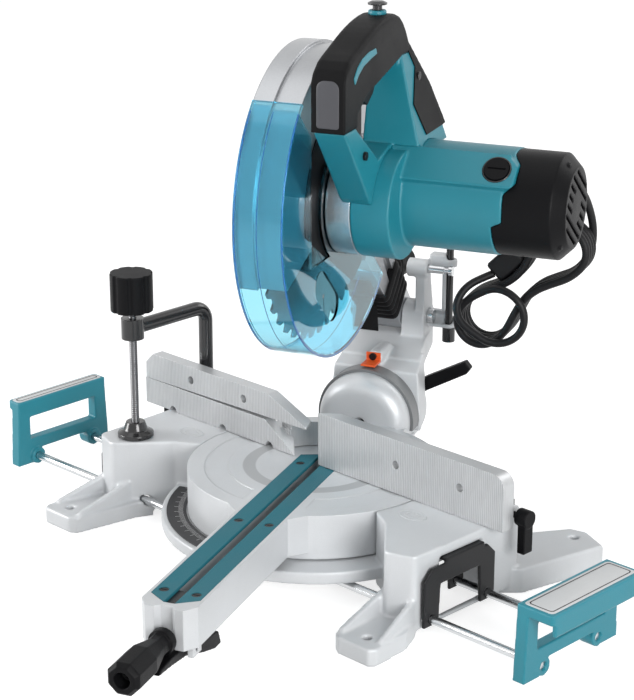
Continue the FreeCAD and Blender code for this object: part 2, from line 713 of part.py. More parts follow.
def bevel_lever():
    """Clamp lever of the bevel axle."""
    y0, y1 = 185.5, 199.5
    hub = rod((0, y0, d.table_height), Y, 13, y1 - y0)
    hub = cut(hub, rod((0, y0 - 5, d.table_height), Y, d.axle_radius + d.running, 40))
    arm = front_slab([(6, 68), (30, 82), (46, 92), (86, 114), (90, 120), (84, 127), (44, 106), (28, 96), (4, 86)],
                     y0 + 2, y1 - 2)
    arm = cut(arm, rod((0, y0 - 5, d.table_height), Y, 12, 40))
    return feature("bevel_lever", join(hub, arm), TURNED)


def stop_pin():
    return turned("stop_pin", [("0", "0"), ("4", "0"), ("4", "38"), ("2.6", "38"), ("2.6", "43"), ("4.9", "43"),
                               ("4.9", "47"), ("0", "47")], along_x(12.6, 220, 209))


# ---------------------------------------------------------------- head


def blade_case():
    """Cast upper blade case with the arm that runs back to the hinge knuckle."""
    cy, cz = HEAD_AXIS
    outer = join(rod((d.case_left, cy, cz), X, d.case_radius, 19), rod((-2.5, cy, cz), X, d.case_radius - 3, 25))
    fan = sector(HEAD_AXIS, d.case_radius, d.case_first, d.case_last, d.case_left - 1, d.case_right + 1)
    outer = outer.common(fan)
    hub_right = rod((d.case_right - d.case_wall, cy, cz), X, 62, d.case_wall)
    room = rod((d.case_left + d.case_wall, cy, cz), X, d.blade_radius + 3.5,
               d.case_right - d.case_left - 2 * d.case_wall)
    hy, hz = d.hinge_back, d.hinge_height
    arm = side_slab([(98, 252), (142, 276), (hy + 13, hz + 12), (hy - 8, hz - 14), (205, 158)], -30, 7.9)
    arm = cut(arm, side_slab([(139, 260), (150, 262), (210, 184), (195, 176)], -40, -25),
              side_slab([(139, 260), (150, 262), (210, 184), (195, 176)], 3, 40))
    knuckle = rod((-35.7, hy, hz), X, d.knuckle_radius, 43.6)
    neck = side_slab([(60, 290), (100, 336), (141, 290), (141, 268), (110, 248)], d.case_right - 8, d.case_right)
    shape = join(outer, hub_right)
    shape = join(shape, arm, knuckle)
    shape = cut(shape, room, rod((-60, hy, hz), X, d.hinge_pin_radius + d.running, 120),
                rod((10, cy, cz), X, 34.02, 20),
                rod((-40, cy, cz), X, 30, 30))
    return feature("blade_case", shape, TURNED)


def cover_plate():
    """Thin black centre cover between the case and the gear housing."""
    cy, cz = HEAD_AXIS
    foot = box(d.case_right - 1, d.case_right + 5, cy - 150, cy + 150, cz - 200, cz - 58)
    foot.rotate(Vector(0, cy, cz), X, -32)
    shape = cut(rod((d.case_right, cy, cz), X, 88, 1.0), rod((d.case_right - 1, cy, cz), X, 34.02, 5), foot,
                side_slab([(cy + 50, cz - 100), (cy + 100, cz - 100), (cy + 100, cz + 100), (cy + 50, cz + 100)],
                          d.case_right - 1, d.case_right + 5))
    return feature("cover_plate", shape, TURNED)


def gear_outline(teeth, bore, width, backlash, phase):
    """Involute spur gear about the x axis."""
    module = d.gear_module
    pitch = module * teeth / 2
    base = pitch * math.cos(math.radians(20))
    tip = pitch + module * (1.0 if teeth > 12 else 1.0)
    root = pitch - 1.25 * module

    def involute(angle):
        return math.tan(angle) - angle
    half = math.pi / (2 * teeth) + involute(math.radians(20)) - backlash / (2 * pitch)
    points = []
    for tooth in range(int(teeth)):
        middle = phase + 2 * math.pi * tooth / teeth
        flank = []
        start = max(base, root)
        for step in range(5):
            r = start + (tip - start) * step / 4
            angle = half - involute(math.acos(min(1.0, base / r)))
            flank.append((r, angle))
        if root < base:
            flank.insert(0, (root, half))
        points += [(r, middle - a) for r, a in flank]
        points += [(r, middle + a) for r, a in reversed(flank)]
    corners = [(r * math.cos(a), r * math.sin(a)) for r, a in points]
    return side_slab(corners, 0, width)


def drive_gear():
    """Large gear on the arbor."""
    cy, cz = HEAD_AXIS
    toward = math.atan2(MOTOR_AXIS[1] - cz, MOTOR_AXIS[0] - cy)
    wheel = gear_outline(d.gear_teeth, 0, 8, 0.25, toward + math.pi / d.gear_teeth)
    wheel = cut(wheel, rod((-1, 0, 0), X, d.arbor_radius + 0.02, 20),
                cut(rod((-0.01, 0, 0), X, 18, 2), rod((-1, 0, 0), X, 12, 5)))
    wheel.translate(Vector(35, cy, cz))
    return feature("drive_gear", wheel, TURNED)


def arbor_shaft():
    return turned("arbor_shaft", [("0", "5"), ("Sizes.arbor_radius", "5"), ("Sizes.arbor_radius", "57"),
                                  ("6", "57"), ("6", "62"), ("0", "62")],
                  along_x(-14, *HEAD_AXIS))


def blade_flanges():
    """Inner and outer flange that grip the blade."""
    cy, cz = HEAD_AXIS
    flanges = []
    for x0 in (d.blade_thick / 2, -d.blade_thick / 2 - 6):
        ring = rod((x0, cy, cz), X, 25, 6)
        ring = cut(ring, rod((x0 - 1, cy, cz), X, d.arbor_radius + 0.02, 10))
        flanges.append(ring)
    return feature("blade_flanges", Part.makeCompound(flanges), TURNED)


def arbor_bolt():
    cy, cz = HEAD_AXIS
    hexagon = [(cy + 8 * math.cos(math.radians(60 * i)), cz + 8 * math.sin(math.radians(60 * i))) for i in range(6)]
    head = side_slab(hexagon, -17, -11)
    washer = rod((-11, cy, cz), X, 11, 1.9)
    return feature("arbor_bolt", join(head, washer), TURNED)


def saw_blade():
    """Carbide-tipped blade: a plate with cut gullets and four expansion slots."""
    cy, cz = HEAD_AXIS
    teeth = 40
    tip, root = d.blade_radius, d.blade_radius - 8
    points = []
    for tooth in range(teeth):
        a = 2 * math.pi * tooth / teeth
        pitch = 2 * math.pi / teeth
        for r, share in ((tip, 0.0), (tip - 1.2, 0.32), (root + 1, 0.62), (root, 0.8), (root + 1.5, 0.94)):
            angle = a + pitch * share
            points.append((cy + r * math.cos(angle), cz + r * math.sin(angle)))
    body = side_slab(points, -d.blade_thick / 2, d.blade_thick / 2)
    tools = [rod((-5, cy, cz), X, d.arbor_radius + 0.02, 10)]
    for turn in (8, 98, 188, 278):
        a = math.radians(turn)
        radial = Vector(0, math.cos(a), math.sin(a))
        start = Vector(-5, cy, cz) + radial * (root - 22)
        slot = Part.makeBox(10, 1.2, 40, Vector(-5, -0.6, root - 22))
        slot.rotate(Vector(0, 0, 0), X, turn - 90)
        slot.translate(Vector(0, cy, cz))
        tools += [slot, rod((start.x, start.y, start.z), X, 2.2, 10)]
    return feature("saw_blade", cut(body, *tools), TURNED)


def lower_guard():
    """Clear guard: a rim over the teeth and a side plate on a hub ring."""
    cy, cz = HEAD_AXIS
    x0, x1 = d.guard_left, d.guard_right
    rim = cut(rod((x0, cy, cz), X, d.guard_outer, x1 - x0), rod((x0 - 1, cy, cz), X, d.guard_inner, x1 - x0 + 2))
    lip = cut(rod((x0, cy, cz), X, d.guard_outer, 2), rod((x0 - 1, cy, cz), X, d.guard_inner - 1.2, 5))
    side = cut(rod((x1 - 2.5, cy, cz), X, d.guard_outer, 2.5), rod((x1 - 4, cy, cz), X, 52, 8))
    front_window = side_slab([(-75, 290), (-75, 407), (-108, 438), (-60, 500), (80, 500), (80, 290)], x1 - 5, x1 + 5)
    side = cut(side, front_window)
    fan = sector(HEAD_AXIS, d.guard_outer, 133, 316, x0 - 1, x1 + 1)
    fan = join(fan)
    shell = join(rim, lip, side).common(fan)
    hub = cut(rod((x1 - 2.5, cy, cz), X, 56, 2.5), rod((x1 - 4, cy, cz), X, 34.0 + d.running, 8))
    oval = join(rod((x1 - 5, -52, 268), X, 14, 10), rod((x1 - 5, -24, 242), X, 14, 10),
                side_slab([(-61.5, 257.8), (-33.5, 231.8), (-14.5, 252.2), (-42.5, 278.2)], x1 - 5, x1 + 5))
    shape = cut(join(shell, hub), oval)
    return feature("lower_guard", shape, TURNED)


def gear_housing():
    """Bare cast gear housing on the right of the blade case."""
    cy, cz = HEAD_AXIS
    my, mz = MOTOR_AXIS
    x0, x1 = d.gearcase_left, d.gearcase_right
    body = rod((x0, cy, cz), X, d.gearcase_radius, x1 - x0)
    body = join(body, rod((x0 + 4, my, mz), X, d.motor_radius, x1 - x0 - 4))
    boss = rod((d.case_right - 2.5, cy, cz), X, 34, x0 - d.case_right + 3)
    shape = join(body, boss)
    room = join(rod((33, cy, cz), X, 25.5, 12), rod((33, my, mz), X, 9, 30))
    arbor = rod((0, cy, cz), X, d.arbor_radius + 1.0, 60)
    seats = [rod((d.case_right + 1, cy, cz), X, 18.05, 40 - d.case_right), rod((44, cy, cz), X, 13.05, 5),
             rod((45, my, mz), X, 15.05, 20)]
    shape = cut(shape, room, arbor.common(box(0, 44.5, -200, 200, 0, 500)), *seats)
    return feature("gear_housing", shape, TURNED)


def bearings():
    """Ball bearings of the arbor and the armature, drawn as closed rings."""
    cy, cz = HEAD_AXIS
    my, mz = MOTOR_AXIS
    rings = []
    for x, y, z, bore, outer, wide in ((d.case_right + 1.5, cy, cz, 8, 18, 9), (44.2, cy, cz, 6, 13, 4.5),
                                       (51, my, mz, 5, 15, 9), (203, my, mz, 4, 11, 7)):
        ring = cut(rod((x, y, z), X, outer, wide), rod((x - 1, y, z), X, bore + d.running, wide + 2))
        rings.append(ring)
    return feature("bearings", Part.makeCompound(rings), TURNED)


def seam_tool(keep_left, gap=0.0):
    """Everything on one side of the stepped seam between motor housing and rear cover."""
    far = 500 if not keep_left else -500
    steps = [(d.seam_top, 420), (d.seam_top, 385), (d.seam_brush, 379.5), (d.seam_brush, 366), (d.seam_side, 357),
             (d.seam_side, 332.5), (d.seam_low, 327.5), (d.seam_low, 260)]
    edge = [(x + gap, z) for x, z in steps]
    return front_slab([*edge, (d.seam_low + far, 260), (d.seam_top + far, 420)], -200, 300)


def motor_housing():
    """Moulded motor housing with the flat raised panel of the brush holder."""
    my, mz = MOTOR_AXIS
    x0 = d.gearcase_right
    outer = rod((x0, my, mz), X, d.motor_radius, 160)
    panel = box(x0 + 20, x0 + 160, -17, 17, 30, d.motor_radius + d.panel_rise)
    panel.rotate(Vector(0, 0, 0), X, 45)
    panel.translate(Vector(0, my, mz))
    shape = join(outer, panel)
    flange = cut(rod((x0, *HEAD_AXIS), X, d.gearcase_radius, 36), rod((x0 - 1, my, mz), X, 40, 60))
    shape = join(shape, flange)
    inner = rod((x0 + 6, my, mz), X, d.motor_radius - d.motor_wall, 200)
    shape = cut(shape, inner, rod((x0 - 1, my, mz), X, 15.05, 10.2), rod((x0 - 1, my, mz), X, 9, 20),
                seam_tool(False))
    for angle in (45, 225):
        shape = cut(shape, brush_hole(angle, 6.5))
        seat = rod((0, 0, cap_seat(angle)), Z, 11.2, 10)
        seat.rotate(Vector(0, 0, 0), X, angle)
        seat.translate(Vector(d.brush_across, my, mz))
        shape = cut(shape, seat)
    rim = rod((x0 + 6, my, mz), X, 17, 4)
    rim = cut(rim, rod((x0, my, mz), X, 15.05, 20))
    return feature("motor_housing", join(shape, rim), TURNED)


def cap_seat(angle):
    """Radius from the motor axis at which a brush cap seats: sunk in the raised panel, or in the bare shell."""
    return d.motor_radius + (d.panel_rise - 2.0 if angle == 45 else -2.5)


def brush_hole(angle, radius):
    hole = rod((0, 0, 20), Z, radius, 60)
    hole.rotate(Vector(0, 0, 0), X, angle)
    hole.translate(Vector(d.brush_across, *MOTOR_AXIS))
    return hole


def brush_caps():
    """Two slotted brush caps, each with its carbon brush behind it."""
    caps = []
    for angle in (45, 225):
        lift = cap_seat(angle)
        cap = rod((0, 0, lift + 0.02), Z, 11, 4.0)
        stem = rod((0, 0, 24), Z, 6.3, lift - 23)
        slot = box(-8, 8, -0.9, 0.9, lift + 2.8, lift + 6)
        piece = cut(join(cap, stem), slot, box(-2.6, 2.6, -4, 4, 20, 34))
        piece.rotate(Vector(0, 0, 0), X, angle)
        piece.translate(Vector(d.brush_across, *MOTOR_AXIS))
        caps.append(piece)
    return feature("brush_caps", Part.makeCompound(caps), TURNED)


def rear_cover():
    """Black rear cover with slanted air slots and the rear bearing seat."""
    my, mz = MOTOR_AXIS
    end = d.cover_end
    outer = rod((120, my, mz), X, d.motor_radius - 0.8, end - 120)
    outer = outer.makeChamfer(11.0, [e for e in outer.Edges if abs(e.CenterOfMass.x - end) < 0.01])
    shape = cut(outer, rod((100, my, mz), X, d.motor_radius - d.motor_wall - 2.0, end - 109),
                seam_tool(True, 0.05))
    seat = cut(rod((202, my, mz), X, 14, end - 202 - 3), rod((190, my, mz), X, 11.05, 20.5))
    spokes = []
    for turn in (0, 120, 240):
        spoke = box(206, end - 4, -2.5, 2.5, 12.5, d.motor_radius - 5)
        spoke.rotate(Vector(0, 0, 0), X, turn + 15)
        spoke.translate(Vector(0, my, mz))
        spokes.append(spoke)
    shape = join(shape, seat, *spokes)
    slots = []
    for row in range(-3, 4):
        slot = box(end - 14, end + 5, -30, 30, row * 9 - 1.7, row * 9 + 1.7)
        slot = slot.common(rod((end - 20, 0, 0), X, 33, 40))
        slot.rotate(Vector(0, 0, 0), X, -35)
        slot.translate(Vector(0, my, mz))
        slots.append(cut(slot, rod((end - 30, my, mz), X, 15, 40)))
    slots.append(brush_hole(225, 11.3))
    slots.append(rod((d.cord_exit, my + 20, mz - 4), Y, 8.02, 60))
    return feature("rear_cover", cut(shape, *slots), TURNED)


def field_core():
    """Laminated field core pressed into the motor housing."""
    my, mz = MOTOR_AXIS
    ring = rod((92, my, mz), X, d.motor_radius - d.motor_wall - 0.03, 46)
    ring = cut(ring, rod((90, my, mz), X, 27, 60))
    flat = d.motor_radius - 9
    sides = [box(90, 140, my - 60, my - flat, mz - 60, mz + 60), box(90, 140, my + flat, my + 60, mz - 60, mz + 60)]
    return feature("field_core", cut(ring, *sides), TURNED)


def armature():
    """Armature with its shaft, winding stack, commutator and the nine-tooth pinion."""
    my, mz = MOTOR_AXIS
    toward = math.atan2(HEAD_AXIS[1] - mz, HEAD_AXIS[0] - my)
    pinion = gear_outline(d.pinion_teeth, 0, 11, 0.25, toward)
    pinion.translate(Vector(34, my, mz))
    shaft = [rod((44, my, mz), X, 4.9, 146), rod((189, my, mz), X, 3.95, 21)]
    stack = rod((93, my, mz), X, 25.8, 44)
    slots = []
    for i in range(12):
        slot = box(92, 138, -1.2, 1.2, 21, 30)
        slot.rotate(Vector(0, 0, 0), X, 30 * i)
        slot.translate(Vector(0, my, mz))
        slots.append(slot)
    commutator = rod((146, my, mz), X, 14, 34)
    return feature("armature", join(pinion, *shaft, cut(stack, *slots), commutator), TURNED)


def motor_fan():
    """Cooling fan pressed on the armature shaft."""
    my, mz = MOTOR_AXIS
    hub = rod((66, 0, 0), X, 11, 16)
    disc = rod((80, 0, 0), X, d.motor_radius - 9, 2)
    blades = []
    for i in range(11):
        blade = box(68, 80.5, -0.9, 0.9, 10, d.motor_radius - 10)
        blade.rotate(Vector(0, 0, 0), X, 360 / 11 * i)
        blades.append(blade)
    fan = join(hub, disc, *blades)
    fan = cut(fan, rod((60, 0, 0), X, 4.92, 40))
    fan.translate(Vector(0, my, mz))
    return feature("motor_fan", fan, TURNED)


# ---------------------------------------------------------------- handle
def handle_core(grow=0.0):
    """Bar inside the rubber grip, from the front end of the grip to the apex."""
    g = grow
    return side_slab([(-109 - g, 423 - g), (-109 - g, 466 + g), (-96, 478 + g), (4, 495 + g), (26 + g, 489 + g),
                      (30 + g, 470), (20, 464 - g), (-66, 441 - g), (-86 + g, 423 - g)],
                     d.handle_middle - 9 - g, d.handle_middle + 9 + g)


def handle_frame():
    """Moulded D handle: front foot, bar through the grip and rear strut."""
    lo, hi = d.handle_middle - d.handle_half, d.handle_middle + d.handle_half
    bar = side_slab([(-109, 421.4), (-109, 466), (-96, 477), (0, 496), (22, 492), (32, 470), (24, 462), (-60, 445),
                     (-88, 421.4)], lo + 5, hi - 5)
    foot = side_slab([(-112, 421), (-86, 421), (-30, 381.5), (-20, 377), (-40, 340), (-52, 350)], lo, hi)
    lower = side_slab([(-52, 350), (-30, 381.5), (0, 388.5), (70, 382), (78, 372), (40, 350), (-30, 340)],
                      lo, hi)
    strut = loft([(lo, 2, 380), (98, 2, 380), (98, 76, 380), (lo, 76, 380)],
                 [(lo, 14, 430), (82, 14, 430), (82, 70, 430), (lo, 70, 430)],
                 [(lo + 2, 26, 470), (hi - 2, 26, 470), (hi - 2, 44, 470), (lo + 2, 44, 470)])
    bar_back = side_slab([(14, 462), (14, 492), (30, 488), (44, 468), (40, 455), (24, 452)], lo + 2, hi - 2)
    shape = join(bar, foot, lower, strut, bar_back)
    my, mz = MOTOR_AXIS
    shape = cut(shape, rod((d.gearcase_right, my, mz), X, d.motor_radius + 0.02, 120),
                rod((d.gearcase_left - 1, *HEAD_AXIS), X, d.gearcase_radius + 0.02, 60),
                rod((d.gearcase_left + 3, my, mz), X, d.motor_radius + 0.02, 30),
                rod((0, *HEAD_AXIS), X, d.gearcase_radius + 0.02, 36 + d.gearcase_right))
    panel = box(d.gearcase_right + 19.9, 220, -17.05, 17.05, 30, d.motor_radius + d.panel_rise + d.running)
    panel.rotate(Vector(0, 0, 0), X, 45)
    panel.translate(Vector(0, my, mz))
    trigger_room = side_slab([(-62, 450), (-8, 463), (-4, 448), (-50, 432), (-70, 432)], d.handle_middle - 6,
                             d.handle_middle + 6)
    button = rod((d.handle_middle, 1, 470), Z, 4.5, 40)
    trunnions = rod((d.handle_middle - 8.3, *TRIGGER_PIVOT), X, d.trunnion_radius + d.running, 16.6)
    shape = cut(shape, panel, trigger_room, button, trunnions)
    screws = [rod((40, y, z), X, 2 + d.running, 80) for y, z in ((47, 441), (-66, 393))]
    collar = join(rod((d.handle_middle, 1, 490), Z, 6.5, 11), rod((d.handle_middle, 1, 500.6), Z, 8, 5))
    shape = cut(join(shape, collar), button, *screws, rod((78.2, 47, 441), X, 4.3, 20))
    return feature("handle_frame", shape, TURNED)


def handle_grip():
    """Rubber over-grip that wraps the bar and runs down the back of the strut."""
    lo, hi = d.handle_middle - d.handle_half - 1, d.handle_middle + d.handle_half + 1
    crown = [(-115, 464), (-110.5, 474), (-88, 484.5), (-60, 493), (-35, 499), (-10, 502.2), (6, 502), (20, 498),
             (32, 488.5), (41, 477), (47, 466), (50, 456)]
    body = curved_side_slab(crown, [(34.5, 461), (24, 461.8), (-60, 444.6), (-84, 432), (-84, 421.2),
                                    (-115, 421.2)], lo, hi)
    body = rounded(body, 4.0, lambda c: (c.x < lo + 0.01 or c.x > hi - 0.01) and c.z > 470)
    tail = loft([(lo + 2, 34, 476), (hi - 2, 34, 476), (hi - 2, 41, 476), (lo + 2, 41, 476)],
                [(52, 68, 430), (79, 68, 430), (79, 80, 430), (52, 80, 430)],
                [(62, 74, 392), (94, 74, 392), (94, 84, 392), (62, 84, 392)])
    shape = join(body, tail)
    room = side_slab([(-62, 450), (-8, 463), (-4, 440), (-50, 425), (-75, 425)], d.handle_middle - 6.5,
                     d.handle_middle + 6.5)
    shape = cut(shape, drawn["handle_frame"], room, rod((d.handle_middle, 1, 460), Z, 4.5, 60),
                rod((20, 47, 441), X, 4.2, 80))
    return feature("handle_grip", largest(shape), TURNED)


def largest(shape):
    return max(shape.Solids, key=lambda solid: solid.Volume)


def housing_screws():
    """Identical pan head screws of the handle halves."""
    screws = []
    for x, y, z in ((71.02, -66, 393), (78.2, 47, 441)):
        head = rod((x, y, z), X, 3.8, 2.4)
        shank = rod((x - 14, y, z), X, 1.95, 15)
        slot = box(x + 1.2, x + 4, y - 0.5, y + 0.5, z - 3, z + 3)
        screws.append(cut(head.fuse(shank), slot))
    return feature("housing_screws", Part.makeCompound(screws), TURNED)


def trigger():
    """Switch trigger pivoted at its front end under the bar."""
    mid = d.handle_middle
    shape = side_slab([(-60, 447.5), (-58, 440), (-36, 430), (-22, 438), (-14, 450), (-16, 455.5)], mid - 5.5, mid + 5.5)
    nose = rod((mid - 5.5, *TRIGGER_PIVOT), X, 2.4, 11)
    trunnions = rod((mid - 8, *TRIGGER_PIVOT), X, d.trunnion_radius, 16)
    return feature("trigger", join(shape, nose, trunnions), TURNED)


def lock_button():
    """Mushroom lock-off button in its collar on top of the handle."""
    return turned("lock_button", [("0", "0"), ("4.2", "0"), ("4.2", "31.4"), ("8.5", "32.2"), ("8.5", "33.6"),
                                  ("5", "35.2"), ("0", "35.6")],
                  TURNED.multiply(Placement(Vector(d.handle_middle, 1, 478), Rotation())))


# ---------------------------------------------------------------- dust parts
def dust_duct():
    """Pleated duct and rear nozzle that lead the dust over the knuckle."""
    sections = []
    for y, z, half, tall in ((141, 222, 18, 20), (180, 204, 18, 16), (214, 196, 16, 14), (262, 196, 15, 14)):
        sections.append([(-18 - half, y, z - tall), (-18 + half, y, z - tall), (-18 + half, y, z + tall),
                         (-18 - half, y, z + tall)])
    shape = loft(*sections)
    nozzle = rod((-18, 262, 196), Y, 16, 22)
    shape = join(shape, nozzle)
    shape = cut(shape, drawn["blade_case"], rod((-18, 240, 196), Y, 13, 60))
    return feature("dust_duct", largest(shape), TURNED)


def dust_flap():
    """Rubber flap that hangs behind the blade."""
    shape = front_slab([(-27, 155), (0, 155), (-4, 188.6), (-24, 188.6)], 168, 170)
    return feature("dust_flap", shape, TURNED)


# ---------------------------------------------------------------- sliding fence
def sub_fence():
    """Upper left fence that slides out of the way of a tilted head."""
    table, thick = d.table_height, d.fence_thick
    seam = table + d.fence_seam + 0.3
    top = table + 53.7
    left = -d.fence_left_end + 1
    plate_shape = front_slab([(left, seam), (-12.5, seam + 4), (-14, seam + 6), (-63.3, top), (left + 10, top),
                              (left, top - 10)], 0, thick - 1)
    plate_shape = cut(plate_shape, slab([(-12, -1), (0, -1), (0, 30), (-12 - 1.1 * thick, 30)], 0, 200))
    rail = box(left, -70, thick - d.rail_depth + 0.25, thick + 3, seam - 7.5, seam + 6)
    shape = join(plate_shape, rail)
    shape = cut(shape, *[rod((x, -5, 116), Y, 4.0, 30) for x in (-171.8, -96.9)])
    return feature("sub_fence", shape)


# ---------------------------------------------------------------- vise and clamp screws
def clamp_screw(label, side):
    """Screw with a wing knob that clamps the vise rod in its boss."""
    x_end = d.vise_rod_across + d.vise_rod_radius + 1.0
    x_out = max(d.fence_right_end, d.block_end + 19) + 8.0
    shank = rod((side * x_end, d.vise_rod_back, d.clamp_height), X * side, 3, x_out - x_end)
    hub = rod((side * (x_out - 10), d.vise_rod_back, d.clamp_height), X * side, 8, 12)
    wing = slab([(x_out - 7, d.vise_rod_back - 6), (x_out + 1, d.vise_rod_back - 6),
                 (x_out + 1, d.vise_rod_back + 6), (x_out - 7, d.vise_rod_back + 6)],
                d.clamp_height - 32, d.clamp_height)
    if side < 0:
        wing = mirrored(wing)
    return feature(label, join(shank, hub, wing))


def vise_arm():
    """Bent rod: upright in its boss behind the fence, then forward over the work."""
    x, y = -d.vise_rod_across, d.vise_rod_back
    z_arm, bend = d.vise_arm_height, 14.0
    upright = rod((x, y, 46), Z, d.vise_rod_radius, z_arm - bend - 46)
    corner = Part.Face(Part.Wire(Part.makeCircle(d.vise_rod_radius, Vector(x, y, z_arm - bend), Z)))
    corner = corner.revolve(Vector(x, y - bend, z_arm - bend), X, 90)
    reach = rod((x, y - bend, z_arm), Y * -1, d.vise_rod_radius, d.vise_reach - bend - 9)
    eye = cut(rod((x, y - d.vise_reach, z_arm - 10), Z, 11, 20),
              rod((x, y - d.vise_reach, z_arm - 20), Z, d.vise_screw_radius + d.running, 40))
    shape = join(upright, corner, reach, eye)
    shape = cut(shape, rod((x, y - d.vise_reach, z_arm - 20), Z, d.vise_screw_radius + d.running, 40))
    return feature("vise_arm", shape)


def vise_place(z):
    return Placement(Vector(-d.vise_rod_across, d.vise_rod_back - d.vise_reach, z), Rotation())


def vise_spindle():
    return turned("vise_spindle", [("0", "0"), ("Sizes.vise_screw_radius", "0"), ("Sizes.vise_screw_radius", "125"),
                                   ("0", "125")], vise_place(d.table_height + 12))


def vise_knob():
    """Fluted knob pressed on the spindle."""
    body = new_body("vise_knob", vise_place(d.table_height + 128))
    sketch = new_sketch(body, "XY_Plane")
    add_circle(sketch, "0", "0", "Sizes.vise_knob_radius")
    pad(body, sketch, "37")
    bore = new_sketch(body, "XY_Plane")
    add_circle(bore, "0", "0", "Sizes.vise_screw_radius + 0.01")
    pocket(body, bore, "9.01", True)
    flute = new_sketch(body, "XY_Plane")
    add_circle(flute, "Sizes.vise_knob_radius + 1.5", "0", "3.2")
    groove = pocket(body, flute)
    ring = body.newObject("PartDesign::PolarPattern", "vise_knob_flutes")
    ring.Originals = [groove]
    ring.Axis = (plane_of(body, "Z_Axis"), [""])
    ring.Angle = 360
    ring.Occurrences = 8
    body.Tip = ring
    doc.recompute()
    return body


def vise_pad():
    """Swivel pad that presses the work."""
    return turned("vise_pad", [("0", "0"), ("Sizes.vise_pad_radius", "0"), ("Sizes.vise_pad_radius", "4"),
                               ("12", "7"), ("9", "15"), ("Sizes.vise_screw_radius + 0.1", "15"),
                               ("Sizes.vise_screw_radius + 0.1", "11.4"), ("0", "11.4")],
                  vise_place(d.table_height + d.clear))


# ---------------------------------------------------------------- work holders
def holder_frame(label, side):
    """Cast end frame with a flat top at table height, two legs and a window."""
    top = d.table_height
    if side > 0:
        inner, outer, front, back = d.holder_right_inner, d.holder_right_inner + 37, -97, 22
    else:
        inner, outer, front, back = d.holder_left_inner, d.holder_left_inner + 17, -95, 18
    frame = side_slab([(front, top), (front, top - 10), (front - 3, 8), (front + 17, 8), (front + 17, 33),
                       (back - 22, 33), (back - 22, 8), (back + 3, 8), (back, top - 10), (back, top)],
                      inner, inner + 12)
    deck = box(inner, outer, front, back, top - 9, top)
    lip = box(outer - 4, outer, front + 4, back - 4, top - 20, top - 4)
    beam = box(inner, inner + 12, front + 2, back - 2, 22, 34)
    frame = join(frame, deck, lip, beam)
    window = box(inner - 5, inner + 20, front + 14, back - 14, 34, top - 18)
    bosses = [rod((inner - 3, y, d.holder_rod_height), X, 8.5, 15) for y in (d.holder_rod_front, d.holder_rod_back)]
    frame = join(cut(frame, window), *bosses)
    for y in (d.holder_rod_front, d.holder_rod_back):
        frame = cut(frame, rod((inner - 10, y, d.holder_rod_height), X, d.holder_rod_radius + 0.02, 30))
    frame = rounded(frame, 3.0, lambda c: abs(c.x - outer) < 0.01 and c.z > top - 9 and c.z < top - 0.5)
    return feature(label, frame if side > 0 else mirrored(frame))


def holder_rods(label, side):
    """Two plated rods that slide in the guide under the block."""
    inner = d.holder_right_inner if side > 0 else d.holder_left_inner
    rods = []
    for y in (d.holder_rod_front, d.holder_rod_back):
        bar = rod((d.holder_rod_inner, y, d.holder_rod_height), X, d.holder_rod_radius, inner + 10
                  - d.holder_rod_inner)
        rods.append(bar if side > 0 else mirrored(bar))
    return feature(label, Part.makeCompound(rods))


# ---------------------------------------------------------------- cord


def cord_gland():
    """Rubber strain relief at the back of the rear cover."""
    my, mz = MOTOR_AXIS
    return turned("cord_gland", [("Sizes.cord_radius + Sizes.press", "0"), ("8", "0"), ("8", "5"), ("7", "6"),
                                 ("5.5", "Sizes.gland_length"),
                                 ("Sizes.cord_radius + Sizes.press", "Sizes.gland_length")],
                  along_y(d.cord_exit, my + d.motor_radius - 4.8, mz - 4))


def cord_route():
    my, mz = MOTOR_AXIS
    start = my + d.motor_radius - 4.8 + d.gland_length
    return [(d.cord_exit, start, mz - 4), (d.cord_exit, start + 20, mz - 5), (d.cord_exit + 1, start + 44, mz - 13),
            (d.cord_exit + 3, start + 64, mz - 32), (d.cord_exit + 5, start + 77, mz - 55),
            (d.cord_exit + 5.5, start + 80, mz - 74)]


def cord_lead():
    """Free stretch of cord from the strain relief down to the hank: straight runs and tangent arcs."""
    points = [Vector(*p) for p in cord_route()]
    edges = []
    last = points[0]
    for before, corner, after in zip(points, points[1:], points[2:]):
        into, out = corner - before, after - corner
        turn = into.getAngle(out)
        shorter = min(into.Length, out.Length)
        radius = 0.45 * shorter / math.tan(turn / 2)
        print(f"cord arc radius {radius:.1f} mm")
        setback = 0.45 * shorter
        start = corner - into.normalize() * setback
        end = corner + out.normalize() * setback
        half = (into * -1 + out).normalize()
        centre_line = radius / math.cos(turn / 2) - radius
        middle = corner + half * centre_line
        edges.append(Part.makeLine(last, start))
        edges.append(Part.Arc(start, middle, end).toShape())
        last = end
    edges.append(Part.makeLine(last, points[-1]))
    path = Part.Wire(edges)
    tangent = points[1] - points[0]
    profile = Part.Wire(Part.makeCircle(d.cord_radius, points[0], tangent))
    tube = path.makePipeShell([profile], True, False)
    ratio = tube.Volume / (math.pi * d.cord_radius**2 * path.Length)
    print(f"cord lead length {path.Length:.1f} mm, volume over section times length {ratio:.4f}")
    return feature("cord_lead", tube, TURNED)


def hank_top():
    """Centre of the upper fold, hidden behind the motor."""
    return Vector(d.cord_exit - 17, cord_route()[0][1] + 65, MOTOR_AXIS[1] - 75)


def hank_point(along, across, back=0.0):
    """A point of the hank: along it from the top fold, across it and back from its middle plane."""
    lean = math.radians(d.hank_lean)
    down = Vector(-math.sin(lean), 0, -math.cos(lean))
    side = Vector(math.cos(lean), 0, -math.sin(lean))
    return hank_top() + down * along + side * across + Vector(0, back, 0)


